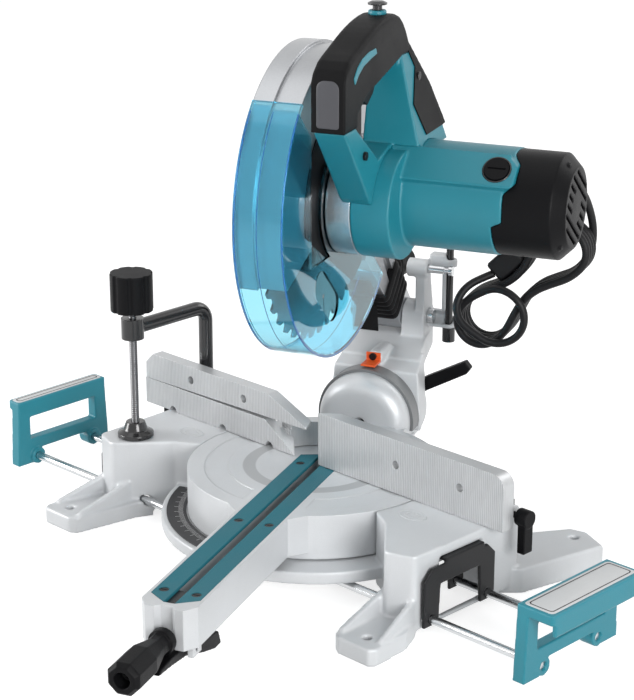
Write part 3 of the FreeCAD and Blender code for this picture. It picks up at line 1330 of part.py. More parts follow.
def cord_coil():
    """Outer shape of the hanging hank: two folds, the tied neck between them and a round loop in front."""
    corners = []
    for along, first, neck in ((d.hank_length, 90, -d.hank_neck), (0, -90, d.hank_neck)):
        for step in range(9):
            a = math.radians(first - 180 * step / 8)
            corners.append(hank_point(along + d.hank_fold * math.cos(a), d.hank_fold * math.sin(a), -d.hank_half))
        necks = [(d.hank_length - 36, neck), (20, neck)]
        for at, across in necks if neck < 0 else reversed(necks):
            corners.append(hank_point(at, across, -d.hank_half))
    hank = Part.Face(Part.makePolygon(corners + corners[:1])).extrude(Y * (2 * d.hank_half))
    loop = rod(hank_point(d.hank_length - 21, 7, -d.hank_half - d.loop_thick), Y, d.loop_radius, d.loop_thick + 4)
    return feature("cord_coil", join(hank, loop), TURNED)


def plug():
    """Moulded plug tucked against the hank."""
    wide, tall = 22.0, 34.0
    body = rounded(box(-wide / 2, wide / 2, -9, 9, 0, tall), 3.5, lambda c: True)
    pins = [rod((x, 0, tall), Z, 2.2, 17) for x in (-6, 6)]
    shape = join(body, *pins)
    shape.rotate(Vector(0, 0, 0), Y, d.hank_lean)
    shape.translate(hank_point(d.hank_length - 38, -(d.hank_neck + wide / 2 + 0.2)))
    return feature("plug", shape, TURNED)


PIECES = [
    base_casting, fence_casting, fence_bolts, mitre_scale, rod_brackets,
    turntable_casting, lambda: kerf_board("kerf_board_left", -1), lambda: kerf_board("kerf_board_right", 1),
    kerf_screws, pivot_bolt, bevel_scale, bevel_axle, front_grip, grip_stem, detent_lever,
    bevel_arm_casting, bevel_pointer, pointer_screw, hinge_pin, blade_wrench, bevel_lever, stop_pin,
    blade_case, cover_plate, drive_gear, arbor_shaft, blade_flanges, arbor_bolt, saw_blade, lower_guard,
    gear_housing, bearings, motor_housing, brush_caps, rear_cover, field_core, armature, motor_fan,
    handle_frame, handle_grip, housing_screws, trigger, lock_button, dust_duct, dust_flap,
    sub_fence, lambda: clamp_screw("clamp_screw_right", 1), lambda: clamp_screw("clamp_screw_left", -1),
    vise_arm, vise_spindle, vise_knob, vise_pad,
    lambda: holder_frame("right_holder", 1), lambda: holder_rods("right_rods", 1),
    lambda: holder_frame("left_holder", -1), lambda: holder_rods("left_rods", -1),
    cord_gland, cord_lead, cord_coil, plug,
]

parts = [make() for make in PIECES]
doc.recompute()

for item in doc.Objects:
    if {"Invalid", "Error"} & set(item.State):
        raise RuntimeError(f"{item.Name} failed to compute: {item.State}")
os.makedirs("parts", exist_ok=True)
for part in parts:
    shape = part.Shape
    if shape.isNull() or not shape.isValid() or not shape.Solids:
        raise RuntimeError(f"{part.Label} is not a valid solid")
for part in parts:
    part.Shape.exportStep(f"parts/{part.Label}.step")
    box_of = part.Shape.BoundBox
    print(f"{part.Label:20s} solids {len(part.Shape.Solids)}  volume {part.Shape.Volume:10.0f}  "
          f"x {box_of.XMin:7.1f} {box_of.XMax:7.1f}  y {box_of.YMin:7.1f} {box_of.YMax:7.1f}  "
          f"z {box_of.ZMin:7.1f} {box_of.ZMax:7.1f}")
print(len(parts), "sub-parts")
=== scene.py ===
"""Compound mitre saw in a plain studio: a turning table with its arm, a sprung saw head with a clear guard,
a work vise and two sliding work holders.

Metres, +X to the operator's right along the fence, +Y to the back, +Z up from the bench.  Pieces of the
turning arm are drawn across, back and up from the arm's own axis, and ARM turns them to where it stands.
"""
import math
import random

import bmesh
import bpy
from mathutils import Matrix, Vector


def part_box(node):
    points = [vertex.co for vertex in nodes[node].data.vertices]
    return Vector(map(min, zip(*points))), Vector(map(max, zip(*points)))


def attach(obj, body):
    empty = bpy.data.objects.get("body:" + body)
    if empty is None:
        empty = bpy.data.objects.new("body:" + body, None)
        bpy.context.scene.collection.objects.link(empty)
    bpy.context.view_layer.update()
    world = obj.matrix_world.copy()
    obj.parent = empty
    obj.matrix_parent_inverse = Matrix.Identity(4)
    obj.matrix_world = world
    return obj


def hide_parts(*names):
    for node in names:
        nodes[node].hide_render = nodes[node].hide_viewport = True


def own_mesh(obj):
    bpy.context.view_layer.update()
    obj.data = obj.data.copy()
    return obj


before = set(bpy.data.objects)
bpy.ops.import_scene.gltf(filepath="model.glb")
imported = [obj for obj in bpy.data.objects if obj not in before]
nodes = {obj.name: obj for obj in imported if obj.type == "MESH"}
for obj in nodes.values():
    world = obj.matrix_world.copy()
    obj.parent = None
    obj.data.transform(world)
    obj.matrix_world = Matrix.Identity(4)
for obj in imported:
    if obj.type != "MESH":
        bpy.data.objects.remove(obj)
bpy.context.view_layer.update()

# ------------------------------------------------------------ studio
# A pale floor that runs to white, a broad soft lamp above, one to each side, and a camera that looks down
# over the front right corner of the machine.
FLOOR_SIZE = 30.0
FLOOR_COLOUR = (0.55, 0.55, 0.55, 1)
CAMERA_AT = Vector((1.2563, -1.2832, 0.8110))
CAMERA_LOOK = Vector((-0.6605, 0.6757, -0.3272))
CAMERA_LENS = 106.5
AIR_LIGHT = 0.38
FLOOR_GLOW = 0.74
# Each lamp has its place, the point it faces, its width and its power.
LAMPS = [
    ("lamp_top", (-0.3, -0.3, 2.6), (0.0, 0.05, 0.2), 2.2, 8.0),
    ("lamp_left", (-2.3, -2.0, 1.0), (0.0, 0.0, 0.2), 1.6, 76.0),
    ("lamp_right", (2.5, -1.0, 0.85), (0.1, 0.0, 0.25), 1.4, 60.0),
    ("lamp_back", (0.6, 2.6, 1.9), (0.0, 0.1, 0.25), 1.6, 16.0),
]


def add_node(tree, kind, sockets=(), **settings):
    node = tree.nodes.new("ShaderNode" + kind)
    for name, value in settings.items():
        setattr(node, name, value)
    for socket, value in dict(sockets).items():
        if isinstance(value, bpy.types.NodeSocket):
            tree.links.new(value, node.inputs[socket])
        else:
            node.inputs[socket].default_value = value
    return node


def clear_tree(tree):
    tree.nodes.clear()
    return tree


def seen_directly(tree):
    """One for rays from the eye, a mirror or a clear part, and nought for rays that light a surface."""
    rays = add_node(tree, "LightPath")
    first = add_node(tree, "Math", {0: rays.outputs["Is Camera Ray"], 1: rays.outputs["Is Glossy Ray"]},
                     operation="MAXIMUM")
    return add_node(tree, "Math", {0: first.outputs[0], 1: rays.outputs["Is Transmission Ray"]},
                    operation="MAXIMUM").outputs[0]


world = bpy.data.worlds.new("studio_air")
bpy.context.scene.world = world
world.use_nodes = True
tree = clear_tree(world.node_tree)
dim = add_node(tree, "Background", {"Color": (1, 1, 1, 1), "Strength": AIR_LIGHT})
white = add_node(tree, "Background", {"Color": (1, 1, 1, 1), "Strength": 1.0})
choice = add_node(tree, "MixShader", {0: seen_directly(tree), 1: dim.outputs[0], 2: white.outputs[0]})
add_node(tree, "OutputWorld", {"Surface": choice.outputs[0]})

floor_mesh = bpy.data.meshes.new("studio_floor")
half = FLOOR_SIZE / 2
floor_mesh.from_pydata([(-half, -half, 0), (half, -half, 0), (half, half, 0), (-half, half, 0)], [],
                       [(0, 1, 2, 3)])
studio_floor = bpy.data.objects.new("studio_floor", floor_mesh)
bpy.context.scene.collection.objects.link(studio_floor)
paper = bpy.data.materials.new("studio_paper")
paper.use_nodes = True
tree = clear_tree(paper.node_tree)
dull = add_node(tree, "BsdfDiffuse", {"Color": FLOOR_COLOUR})
glow = add_node(tree, "Emission", {"Color": (1, 1, 1, 1), "Strength": FLOOR_GLOW})
nothing = add_node(tree, "Emission", {"Color": (0, 0, 0, 1), "Strength": 0.0})
lift = add_node(tree, "MixShader", {0: seen_directly(tree), 1: nothing.outputs[0], 2: glow.outputs[0]})
both = add_node(tree, "AddShader", {0: dull.outputs[0], 1: lift.outputs[0]})
add_node(tree, "OutputMaterial", {"Surface": both.outputs[0]})
floor_mesh.materials.append(paper)

for name, place, target, width, power in LAMPS:
    lamp = bpy.data.lights.new(name, "AREA")
    lamp.shape = "DISK"
    lamp.size = width
    lamp.energy = power
    holder = bpy.data.objects.new(name, lamp)
    holder.location = place
    holder.rotation_euler = (Vector(target) - Vector(place)).to_track_quat("-Z", "Y").to_euler()
    bpy.context.scene.collection.objects.link(holder)

lens = bpy.data.cameras.new("camera")
lens.lens = CAMERA_LENS
lens.sensor_width = 36.0
lens.clip_end = 60.0
camera = bpy.data.objects.new("camera", lens)
camera.location = CAMERA_AT
camera.rotation_euler = CAMERA_LOOK.to_track_quat("-Z", "Y").to_euler()
bpy.context.scene.collection.objects.link(camera)
bpy.context.scene.camera = camera
bpy.context.scene.view_settings.view_transform = "Standard"

# ------------------------------------------------------------ base casting
# One aluminium die casting, painted satin silver: a ring under the table, two hollow blocks and four feet
# with bolt holes.  Its corners are rounded as the die leaves them.
ARM_TURN = math.radians(22.5)
ARM = Matrix.Rotation(ARM_TURN, 4, "Z")
CLOUD_SCALE = 11.0
CLOUD_LOW = 0.3
CLOUD_HIGH = 0.7
GRAIN_DEPTH = 0.0004
GLOSS_PLAY = 0.15
# Wear starts where the softened surface leans a little from the flat one and is full at a sharp edge.  The
# grain breaks it up, from none below its lower value to all of it above the upper one.
BLUNT_EDGE = 0.99
SHARP_EDGE = 0.86
WEAR_LOW = 0.38
WEAR_HIGH = 0.6
EDGE_WEAR = 0.5
MOULD_THINNING = 0.3


def ramp(tree, value, low, high, first=0.0, last=1.0):
    """Runs from first to last as a value goes from low to high, and holds beyond them."""
    return add_node(tree, "MapRange", {"Value": value, "From Min": low, "From Max": high, "To Min": first,
                                       "To Max": last}).outputs[0]


def times(tree, one, other):
    """The product of two numbers."""
    return add_node(tree, "Math", {0: one, 1: other}, operation="MULTIPLY").outputs[0]


def blend(tree, amount, under, over):
    """Lays one colour over another where amount is one."""
    return add_node(tree, "Mix", {"Factor": amount, 6: under, 7: (*over, 1)}, data_type="RGBA").outputs[2]


def finish(name, colour, rough, metal=0.0, mottle=0.06, grain=700.0, depth=0.15, worn=None, lay=(1, 1, 1),
           coat=0.0, soft=0.0008, shine=0.5):
    """A worked surface: cloudy colour, fine grain, softened edges and the edge wear of handling."""
    material = bpy.data.materials.new(name)
    material.use_nodes = True
    tree = clear_tree(material.node_tree)
    place = add_node(tree, "TexCoord").outputs["Object"]
    stretched = add_node(tree, "Mapping", {"Vector": place, "Scale": lay}).outputs[0]
    cloud = add_node(tree, "TexNoise", {"Vector": place, "Scale": CLOUD_SCALE, "Detail": 4.0,
                                        "Roughness": 0.6}).outputs[0]
    fine = add_node(tree, "TexNoise", {"Vector": stretched, "Scale": grain, "Detail": 3.0,
                                       "Roughness": 0.55}).outputs[0]
    shade = ramp(tree, cloud, CLOUD_LOW, CLOUD_HIGH, 1 - mottle, 1 + mottle)
    speck = ramp(tree, fine, CLOUD_LOW, CLOUD_HIGH, 1 - mottle / 2, 1 + mottle / 2)
    paint = add_node(tree, "VectorMath", {0: colour, "Scale": times(tree, shade, speck)},
                     operation="SCALE").outputs[0]
    edge = add_node(tree, "Bevel", {"Radius": soft}, samples=4).outputs[0]
    if worn:
        flat = add_node(tree, "NewGeometry").outputs["Normal"]
        facing = add_node(tree, "VectorMath", {0: edge, 1: flat}, operation="DOT_PRODUCT").outputs["Value"]
        rub = times(tree, ramp(tree, facing, BLUNT_EDGE, SHARP_EDGE), ramp(tree, fine, WEAR_LOW, WEAR_HIGH))
        paint = blend(tree, times(tree, rub, EDGE_WEAR), paint, worn)
    gloss = ramp(tree, cloud, CLOUD_LOW, CLOUD_HIGH, rough * (1 - GLOSS_PLAY),
                 min(rough * (1 + GLOSS_PLAY), 1))
    bump = add_node(tree, "Bump", {"Strength": depth, "Distance": GRAIN_DEPTH, "Height": fine,
                                   "Normal": edge}).outputs[0]
    shader = add_node(tree, "BsdfPrincipled", {"Base Color": paint, "Roughness": gloss, "Normal": bump,
                                               "Metallic": metal, "Coat Weight": coat, "Coat Roughness": 0.12,
                                               "Specular IOR Level": shine})
    add_node(tree, "OutputMaterial", {"Surface": shader.outputs[0]})
    return material


def paint_node(names, material):
    """Gives carried-over pieces their real finish."""
    for name in names.split():
        nodes[name].data.materials.clear()
        nodes[name].data.materials.append(material)


def new_piece(name, mesh, material, body, turned=True, smooth=35):
    """A finished piece: placed in the arm's or the base's frame, smoothed, painted and hung on its body."""
    if turned:
        mesh.transform(ARM)
    piece = bpy.data.objects.new(name, mesh)
    bpy.context.scene.collection.objects.link(piece)
    mesh.materials.clear()
    mesh.materials.append(material)
    mesh.polygons.foreach_set("use_smooth", [True] * len(mesh.polygons))
    mesh.set_sharp_from_angle(angle=math.radians(smooth))
    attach(piece, body)
    return piece


def moulded(name, node, material, body, cell=0.0012, passes=5, smooth=50):
    """A casting or moulding over its plain solid, with every corner rounded as the mould leaves it."""
    blank = bpy.data.objects.new(name, nodes[node].data.copy())
    bpy.context.scene.collection.objects.link(blank)
    skin = blank.modifiers.new("skin", "REMESH")
    skin.mode = "VOXEL"
    skin.voxel_size = cell
    ease = blank.modifiers.new("ease", "SMOOTH")
    ease.factor = 0.5
    ease.iterations = passes
    thin = blank.modifiers.new("thin", "DECIMATE")
    thin.ratio = MOULD_THINNING
    depsgraph = bpy.context.evaluated_depsgraph_get()
    mesh = bpy.data.meshes.new_from_object(blank.evaluated_get(depsgraph))
    bpy.data.objects.remove(blank)
    piece = new_piece(name, mesh, material, body, turned=False, smooth=smooth)
    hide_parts(node)
    return piece


def rings_mesh(name, rings, closed=True):
    """A skin over rings of points, all of one count, with a face over each end unless it is left open."""
    count = len(rings[0])
    points = [point for ring in rings for point in ring]
    faces = []
    for i in range(len(rings) - 1):
        for j in range(count):
            k = (j + 1) % count
            faces.append((i * count + j, i * count + k, (i + 1) * count + k, (i + 1) * count + j))
    if closed:
        faces.append(tuple(reversed(range(count))))
        faces.append(tuple(range((len(rings) - 1) * count, len(rings) * count)))
    mesh = bpy.data.meshes.new(name)
    mesh.from_pydata(points, [], faces)
    return mesh


silver = finish("silver_paint", (0.60, 0.615, 0.63), 0.42, metal=0.15, mottle=0.05, grain=1500, depth=0.25,
                worn=(0.75, 0.76, 0.77), soft=0.0014)
moulded("base_cast", "base_casting", silver, "base", cell=0.0014, passes=5)
black_paint = finish("black_paint", (0.008, 0.008, 0.009), 0.34, mottle=0.15, grain=900, depth=0.12,
                     worn=(0.06, 0.06, 0.065), shine=0.25)
paint_node("fence_bolts arbor_bolt field_core", black_paint)
moulded("rod_guides", "rod_brackets", black_paint, "base", cell=0.0008, passes=4)

# Radius and height of each turn of the badge's outline, from its rim to its middle.
BADGE_OUTLINE = ((0.0150, 0.0000), (0.0146, 0.0005), (0.0132, 0.0005), (0.0128, 0.0001), (0.0084, 0.0001),
                 (0.0080, 0.0005), (0.0070, 0.0005), (0.0066, 0.0001), (0.0020, 0.0001))
BADGE_AT = (0.144, -0.025, 0.0758)
BADGE_SQUEEZE = 0.62
BADGE_SIDES = 40


def block_badge(side):
    """Plain oval boss with a raised rim on top of a table block."""
    rings = []
    for radius, height in BADGE_OUTLINE:
        ring = []
        for i in range(BADGE_SIDES):
            a = 2 * math.pi * i / BADGE_SIDES
            ring.append((side * BADGE_AT[0] + radius * math.cos(a),
                         BADGE_AT[1] + BADGE_SQUEEZE * radius * math.sin(a), BADGE_AT[2] + height))
        rings.append(ring)
    return rings_mesh("block_badge", rings)


for side, name in ((1, "badge_right"), (-1, "badge_left")):
    new_piece(name, block_badge(side), silver, "base", turned=False)

# ------------------------------------------------------------ mitre scale
# Black steel plate fixed to the front left of the ring.  Its marks are stamped every degree, longer at
# every fifth, and filled white.
SCALE_TOP = 0.0336
FIRST_MARK = -155
LAST_MARK = -74
MARK_INNER = 0.1245
LONG_MARK = 0.0085
SHORT_MARK = 0.0045
MARK_HALF_WIDTH = 0.00022
scale_black = finish("scale_black", (0.014, 0.014, 0.016), 0.5, mottle=0.1, grain=1200, depth=0.15)
paint_node("mitre_scale", scale_black)
scale_white = finish("scale_white", (0.70, 0.70, 0.70), 0.5, mottle=0.05)
marks = bmesh.new()
for degree in range(FIRST_MARK, LAST_MARK + 1):
    a = math.radians(degree)
    reach = LONG_MARK if degree % 5 == 0 else SHORT_MARK
    along = Vector((math.cos(a), math.sin(a), 0))
    across = Vector((-math.sin(a), math.cos(a), 0)) * MARK_HALF_WIDTH
    inner, outer = along * MARK_INNER, along * (MARK_INNER + reach)
    lift = Vector((0, 0, SCALE_TOP))
    corners = (inner - across, outer - across, outer + across, inner + across)
    marks.faces.new([marks.verts.new(corner + lift) for corner in corners])
mark_mesh = bpy.data.meshes.new("scale_marks")
marks.to_mesh(mark_mesh)
marks.free()
new_piece("scale_marks", mark_mesh, scale_white, "base", turned=False)

# ------------------------------------------------------------ turntable
# Round silver casting with its arm.  The top is faced on a lathe, which leaves fine rings and one darker
# track.  Two teal boards lie flush in the arm beside the blade slot, held by black screws; the inside of
# the slot is tinted near black as painted shade.


def relief(material, height, depth):
    """Cuts a coarser pattern into a finish, under its grain."""
    tree = material.node_tree
    grain = next(node for node in tree.nodes if node.bl_idname == "ShaderNodeBump")
    under = grain.inputs["Normal"].links[0].from_socket
    coarse = add_node(tree, "Bump", {"Strength": 1.0, "Distance": depth, "Height": height, "Normal": under})
    tree.links.new(coarse.outputs[0], grain.inputs["Normal"])


def tint(material, amount, colour):
    """Blends another colour into a finish where amount is one."""
    tree = material.node_tree
    shader = next(node for node in tree.nodes if node.bl_idname == "ShaderNodeBsdfPrincipled")
    before = shader.inputs["Base Color"].links[0].from_socket
    tree.links.new(blend(tree, amount, before, colour), shader.inputs["Base Color"])


def arm_place(tree):
    """Place on the surface, read in the arm's frame."""
    place = add_node(tree, "TexCoord").outputs["Object"]
    turned = add_node(tree, "VectorRotate", {"Vector": place, "Angle": -ARM_TURN}, rotation_type="Z_AXIS")
    return turned.outputs[0]


def one_axis(tree, vector, axis):
    """What a place or a direction measures along X, Y or Z."""
    return add_node(tree, "SeparateXYZ", {0: vector}).outputs[axis]


def away_from(tree, centre, axis):
    """Distance from an axis through centre, read in the arm's frame."""
    moved = add_node(tree, "VectorMath", {0: arm_place(tree), 1: centre}, operation="SUBTRACT")
    flat = add_node(tree, "VectorMath", {0: moved.outputs[0], 1: [1 - a for a in axis]}, operation="MULTIPLY")
    return add_node(tree, "VectorMath", {0: flat.outputs[0]}, operation="LENGTH").outputs["Value"]


def ridges(tree, distance, pitch):
    """A sine of the distance, one wave for each pitch."""
    phase = times(tree, distance, 2 * math.pi / pitch)
    return add_node(tree, "Math", {0: phase}, operation="SINE").outputs[0]


def between(tree, value, low, high, edge=0.0006):
    """One inside a span and nought outside it."""
    return times(tree, ramp(tree, value, low - edge, low + edge), ramp(tree, value, high + edge, high - edge))


TURNED_PITCH = 0.0011
TURNED_DEPTH = 0.00002
TRACK_INNER = 0.056
TRACK_OUTER = 0.068
TRACK_GREY = (0.26, 0.265, 0.27)
TRACK_SHADE = 0.55
SLOT_HALF = 0.0058
SLOT_FLOOR = 0.0400
SLOT_TOP = 0.0742
SLOT_FRONT = -0.3155
SLOT_SHADE_BLACK = (0.012, 0.012, 0.013)
table_silver = finish("table_silver", (0.60, 0.615, 0.63), 0.36, metal=0.25, mottle=0.05, grain=1400,
                      depth=0.2, worn=(0.75, 0.76, 0.77), soft=0.0014)
tree = table_silver.node_tree
from_axis = away_from(tree, (0, 0, 0), (0, 0, 1))
top_only = ramp(tree, one_axis(tree, add_node(tree, "NewGeometry").outputs["Normal"], "Z"), 0.9, 0.98)
relief(table_silver, times(tree, ridges(tree, from_axis, TURNED_PITCH), top_only), TURNED_DEPTH)
track = times(tree, between(tree, from_axis, TRACK_INNER, TRACK_OUTER), top_only)
tint(table_silver, times(tree, track, TRACK_SHADE), TRACK_GREY)
# Painted shade: the walls and floor of the deep blade slot, behind its front end, are tinted near black.
in_arm = arm_place(tree)
slot_shade = times(tree, between(tree, one_axis(tree, in_arm, "X"), -SLOT_HALF, SLOT_HALF, 0.0002),
                between(tree, one_axis(tree, in_arm, "Z"), SLOT_FLOOR, SLOT_TOP, 0.0008))
behind_nose = ramp(tree, one_axis(tree, in_arm, "Y"), SLOT_FRONT - 0.0005, SLOT_FRONT + 0.0005)
tint(table_silver, times(tree, slot_shade, behind_nose), SLOT_SHADE_BLACK)
paint_node("turntable_casting", table_silver)
teal_board = finish("teal_board", (0.012, 0.135, 0.175), 0.5, mottle=0.06, grain=1800, depth=0.3, shine=0.3)
paint_node("kerf_board_left kerf_board_right", teal_board)
black_screw = finish("black_screw", (0.012, 0.012, 0.014), 0.3, metal=0.6, mottle=0.1)
paint_node("kerf_screws pointer_screw housing_screws", black_screw)
plated = finish("bright_plating", (0.62, 0.63, 0.64), 0.22, metal=1.0, mottle=0.06, grain=1200, depth=0.1)
paint_node("left_rods right_rods stop_pin hinge_pin bearings pivot_bolt grip_stem bevel_axle arbor_shaft "
           "drive_gear", plated)

# ------------------------------------------------------------ front grip and detent lever
# Octagonal nylon grip screwed on its steel stem at the end of the arm, and the thumb lever below it that
# frees the detent.  Both are moulded.
black_nylon = finish("black_nylon", (0.0045, 0.0045, 0.0052), 0.42, mottle=0.1, grain=1600, depth=0.25,
                     shine=0.10)
moulded("grip_moulding", "front_grip", black_nylon, "grip", cell=0.0006, passes=4, smooth=40)
moulded("detent_moulding", "detent_lever", black_nylon, "detent", cell=0.0007, passes=4)

# ------------------------------------------------------------ fences
# The lower fence is one die casting bolted to both blocks; the upper left fence slides in its rebate.  Both
# faces are planed across, which leaves upright ribs that grip the work, with painted shade in the grooves
# between them.
RIB_PITCH = 0.0021
RIB_DEPTH = 0.00022
SHADED_GROOVE_GREY = (0.20, 0.205, 0.21)
GROOVE_PAINTED_SHADE = 0.42
fence_metal = finish("planed_fence", (0.58, 0.59, 0.60), 0.38, metal=0.55, mottle=0.08, grain=700, depth=0.2,
                     worn=(0.85, 0.85, 0.86), lay=(1, 1, 0.08), soft=0.0007)
tree = fence_metal.node_tree
along_fence = one_axis(tree, add_node(tree, "TexCoord").outputs["Object"], "X")
face_only = ramp(tree, one_axis(tree, add_node(tree, "NewGeometry").outputs["Normal"], "Y"), -0.9, -0.98)
ribs = times(tree, ridges(tree, along_fence, RIB_PITCH), face_only)
relief(fence_metal, ribs, RIB_DEPTH)
# Painted shade: the grooves between the ribs on the front faces are tinted a darker grey.
tint(fence_metal, ramp(tree, ribs, 0.1, -0.9, last=GROOVE_PAINTED_SHADE), SHADED_GROOVE_GREY)
paint_node("fence_casting sub_fence", fence_metal)

# ------------------------------------------------------------ clamp screws
# Plastic wing screws that hold the vise rod in its boss at either end of the fence.  Each wing is moulded
# on the end of a threaded stud.
for side in ("right", "left"):
    moulded(f"clamp_wing_{side}", f"clamp_screw_{side}", black_nylon, f"clamp_{side}",
            cell=0.0006, passes=4)

# ------------------------------------------------------------ work vise
# A bent steel rod, painted black, holds a threaded steel spindle, which has a fluted nylon knob moulded on
# its top and a swivel pad below.
THREAD_PITCH = 0.002
THREAD_SIDES = 20
THREAD_RINGS = 8
THREAD_ROOT = 0.0034
THREAD_DEPTH = 0.0006
gloss_black = finish("gloss_black", (0.010, 0.010, 0.011), 0.2, mottle=0.12, grain=900, depth=0.08,
                     worn=(0.05, 0.05, 0.055), coat=0.4, shine=0.4)
paint_node("vise_arm", gloss_black)
moulded("vise_knob_moulding", "vise_knob", black_nylon, "vise_screw", cell=0.0007, passes=4)
moulded("vise_pad_moulding", "vise_pad", gloss_black, "vise_foot", cell=0.0006, passes=3)
dark_steel = finish("oiled_steel", (0.16, 0.16, 0.165), 0.3, metal=1.0, mottle=0.15, grain=1200, depth=0.1)
low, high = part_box("vise_spindle")
middle_x, middle_y = (low[0] + high[0]) / 2, (low[1] + high[1]) / 2
thread_rings = []
thread_steps = int((high[2] - low[2]) / THREAD_PITCH * THREAD_RINGS)
for i in range(thread_steps + 1):
    z = low[2] + (high[2] - low[2]) * i / thread_steps
    ring = []
    for j in range(THREAD_SIDES):
        a = 2 * math.pi * j / THREAD_SIDES
        wave = (z / THREAD_PITCH - j / THREAD_SIDES) % 1.0
        radius = THREAD_ROOT + THREAD_DEPTH * (1 - abs(2 * wave - 1))
        ring.append((middle_x + radius * math.cos(a), middle_y + radius * math.sin(a), z))
    thread_rings.append(ring)
thread = new_piece("vise_thread", rings_mesh("vise_thread", thread_rings), dark_steel, "vise_screw",
                   turned=False, smooth=60)
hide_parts("vise_spindle")

# ------------------------------------------------------------ work holders
# Teal painted end frames on two plated rods each, which slide in and out of the base.  A pale steel strip
# with an inlaid black line is glued on top of each frame.
teal = finish("teal_housing", (0.012, 0.205, 0.265), 0.38, mottle=0.05, grain=1800, depth=0.3,
              worn=(0.03, 0.28, 0.33), soft=0.0016)
pale_strip = finish("pale_strip", (0.60, 0.61, 0.615), 0.45, metal=0.2, mottle=0.04, grain=1500, depth=0.15)
inlay = finish("black_inlay", (0.012, 0.012, 0.013), 0.5, mottle=0.1)


def strip_ring(low, high, inset, corner, z):
    """A rounded rectangle inside a box seen from above."""
    points = []
    for cx, cy, first in ((high[0] - inset - corner, high[1] - inset - corner, 0),
                          (low[0] + inset + corner, high[1] - inset - corner, 90),
                          (low[0] + inset + corner, low[1] + inset + corner, 180),
                          (high[0] - inset - corner, low[1] + inset + corner, 270)):
        for step in range(7):
            a = math.radians(first + 15 * step)
            points.append((cx + corner * math.cos(a), cy + corner * math.sin(a), z))
    return points


FOOT_FLARE = 0.003
# Each turn of an edge: how far it is drawn in beyond the strip's own inset, its corner radius and its height.
STRIP_EDGE = ((0, 0.004, 0.0752), (0, 0.004, 0.0761), (0.0004, 0.0038, 0.0763))
LINE_EDGE = ((0.0026, 0.0034, 0.07625), (0.0026, 0.0034, 0.0764), (0.0036, 0.0030, 0.0764),
             (0.0036, 0.0030, 0.07625))
TOP_WIDTH = {"right": 0.037, "left": 0.017}
STRIP_INSET = {"right": 0.0035, "left": 0.002}
for side in ("right", "left"):
    moulded(f"holder_frame_{side}", f"{side}_holder", teal, f"holder_{side}", cell=0.0009,
            passes=3)
    low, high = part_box(f"{side}_holder")
    near = max(low[0], high[0] - TOP_WIDTH[side]) if side == "right" else low[0]
    far = high[0] if side == "right" else min(high[0], low[0] + TOP_WIDTH[side])
    low, high = (near, low[1] + FOOT_FLARE, 0), (far, high[1] - FOOT_FLARE, 0)
    edge = STRIP_INSET[side]
    strip = [strip_ring(low, high, edge + more, corner, z) for more, corner, z in STRIP_EDGE]
    new_piece(f"holder_strip_{side}", rings_mesh("holder_strip", strip), pale_strip, f"holder_{side}",
              turned=False)
    line = [strip_ring(low, high, edge + more, corner, z) for more, corner, z in LINE_EDGE]
    new_piece(f"holder_line_{side}", rings_mesh("holder_line", line, closed=False), inlay, f"holder_{side}",
              turned=False)

# ------------------------------------------------------------ bevel arm
# Silver casting that tilts on the barrel and carries the hinge, with a dull band of degrees behind the
# barrel, an orange pointer, the clamp lever of the tilt and the blade wrench in its clip.
moulded("bevel_arm_cast", "bevel_arm_casting", silver, "bevel_arm", cell=0.0012, passes=4)
band = finish("dull_band", (0.22, 0.225, 0.23), 0.45, metal=0.6, mottle=0.06, grain=900, depth=0.15)
paint_node("bevel_scale", band)
orange = finish("orange_plastic", (0.75, 0.105, 0.02), 0.35, mottle=0.05)
moulded("pointer_moulding", "bevel_pointer", orange, "bevel_arm", cell=0.0004, passes=3)
moulded("tilt_lever", "bevel_lever", black_nylon, "bevel_clamp", cell=0.0008, passes=6)
paint_node("blade_wrench", gloss_black)

# ------------------------------------------------------------ blade case
# Aluminium die casting over the top of the blade, faced on a lathe, so that its grain runs in circles
# about the arbor.  A black nylon plate closes its middle.
HEAD_CENTRE = (0, 0.003, 0.335)
case_metal = finish("turned_case", (0.42, 0.43, 0.445), 0.3, metal=0.85, mottle=0.07, grain=700, depth=0.15,
                    worn=(0.8, 0.8, 0.81), soft=0.0018)


def turned_about_arbor(material, pitch, depth):
    """Fine circles about the arbor, as a lathe or a grinder leaves them."""
    tree = material.node_tree
    relief(material, ridges(tree, away_from(tree, HEAD_CENTRE, (1, 0, 0)), pitch), depth)


turned_about_arbor(case_metal, pitch=0.0009, depth=0.000012)
paint_node("blade_case", case_metal)
paint_node("cover_plate", black_nylon)

# ------------------------------------------------------------ blade
# Ground steel disc with carbide teeth, held between two steel flanges on the arbor.  Grinding leaves fine
# circles about its middle.
blade_metal = finish("ground_blade", (0.36, 0.365, 0.375), 0.24, metal=1.0, mottle=0.08, grain=900, depth=0.1)
turned_about_arbor(blade_metal, pitch=0.0007, depth=0.00001)
paint_node("saw_blade blade_flanges armature", blade_metal)

# ------------------------------------------------------------ lower guard
# Clear blue polycarbonate shell, moulded in one piece, that swings over the blade as the head comes up.
# Its rims are thicker, so their tint is deeper; the dark blue beads on them also carry painted shade for
# the light that the rims bend away.


def tinted_clear(name, colour, haze):
    """Clear plastic that bends little light and lets most of it through to what lies behind."""
    material = bpy.data.materials.new(name)
    material.use_nodes = True
    tree = clear_tree(material.node_tree)
    shader = add_node(tree, "BsdfPrincipled", {"Base Color": colour, "Roughness": haze, "IOR": 1.18,
                                               "Transmission Weight": 1.0, "Coat Weight": 0.6,
                                               "Coat Roughness": 0.03})
    passing = add_node(tree, "BsdfTransparent", {"Color": colour})
    rays = add_node(tree, "LightPath")
    mixed = add_node(tree, "MixShader", {0: rays.outputs["Is Shadow Ray"], 1: shader.outputs[0],
                                         2: passing.outputs[0]})
    add_node(tree, "OutputMaterial", {"Surface": mixed.outputs[0]})
    return material


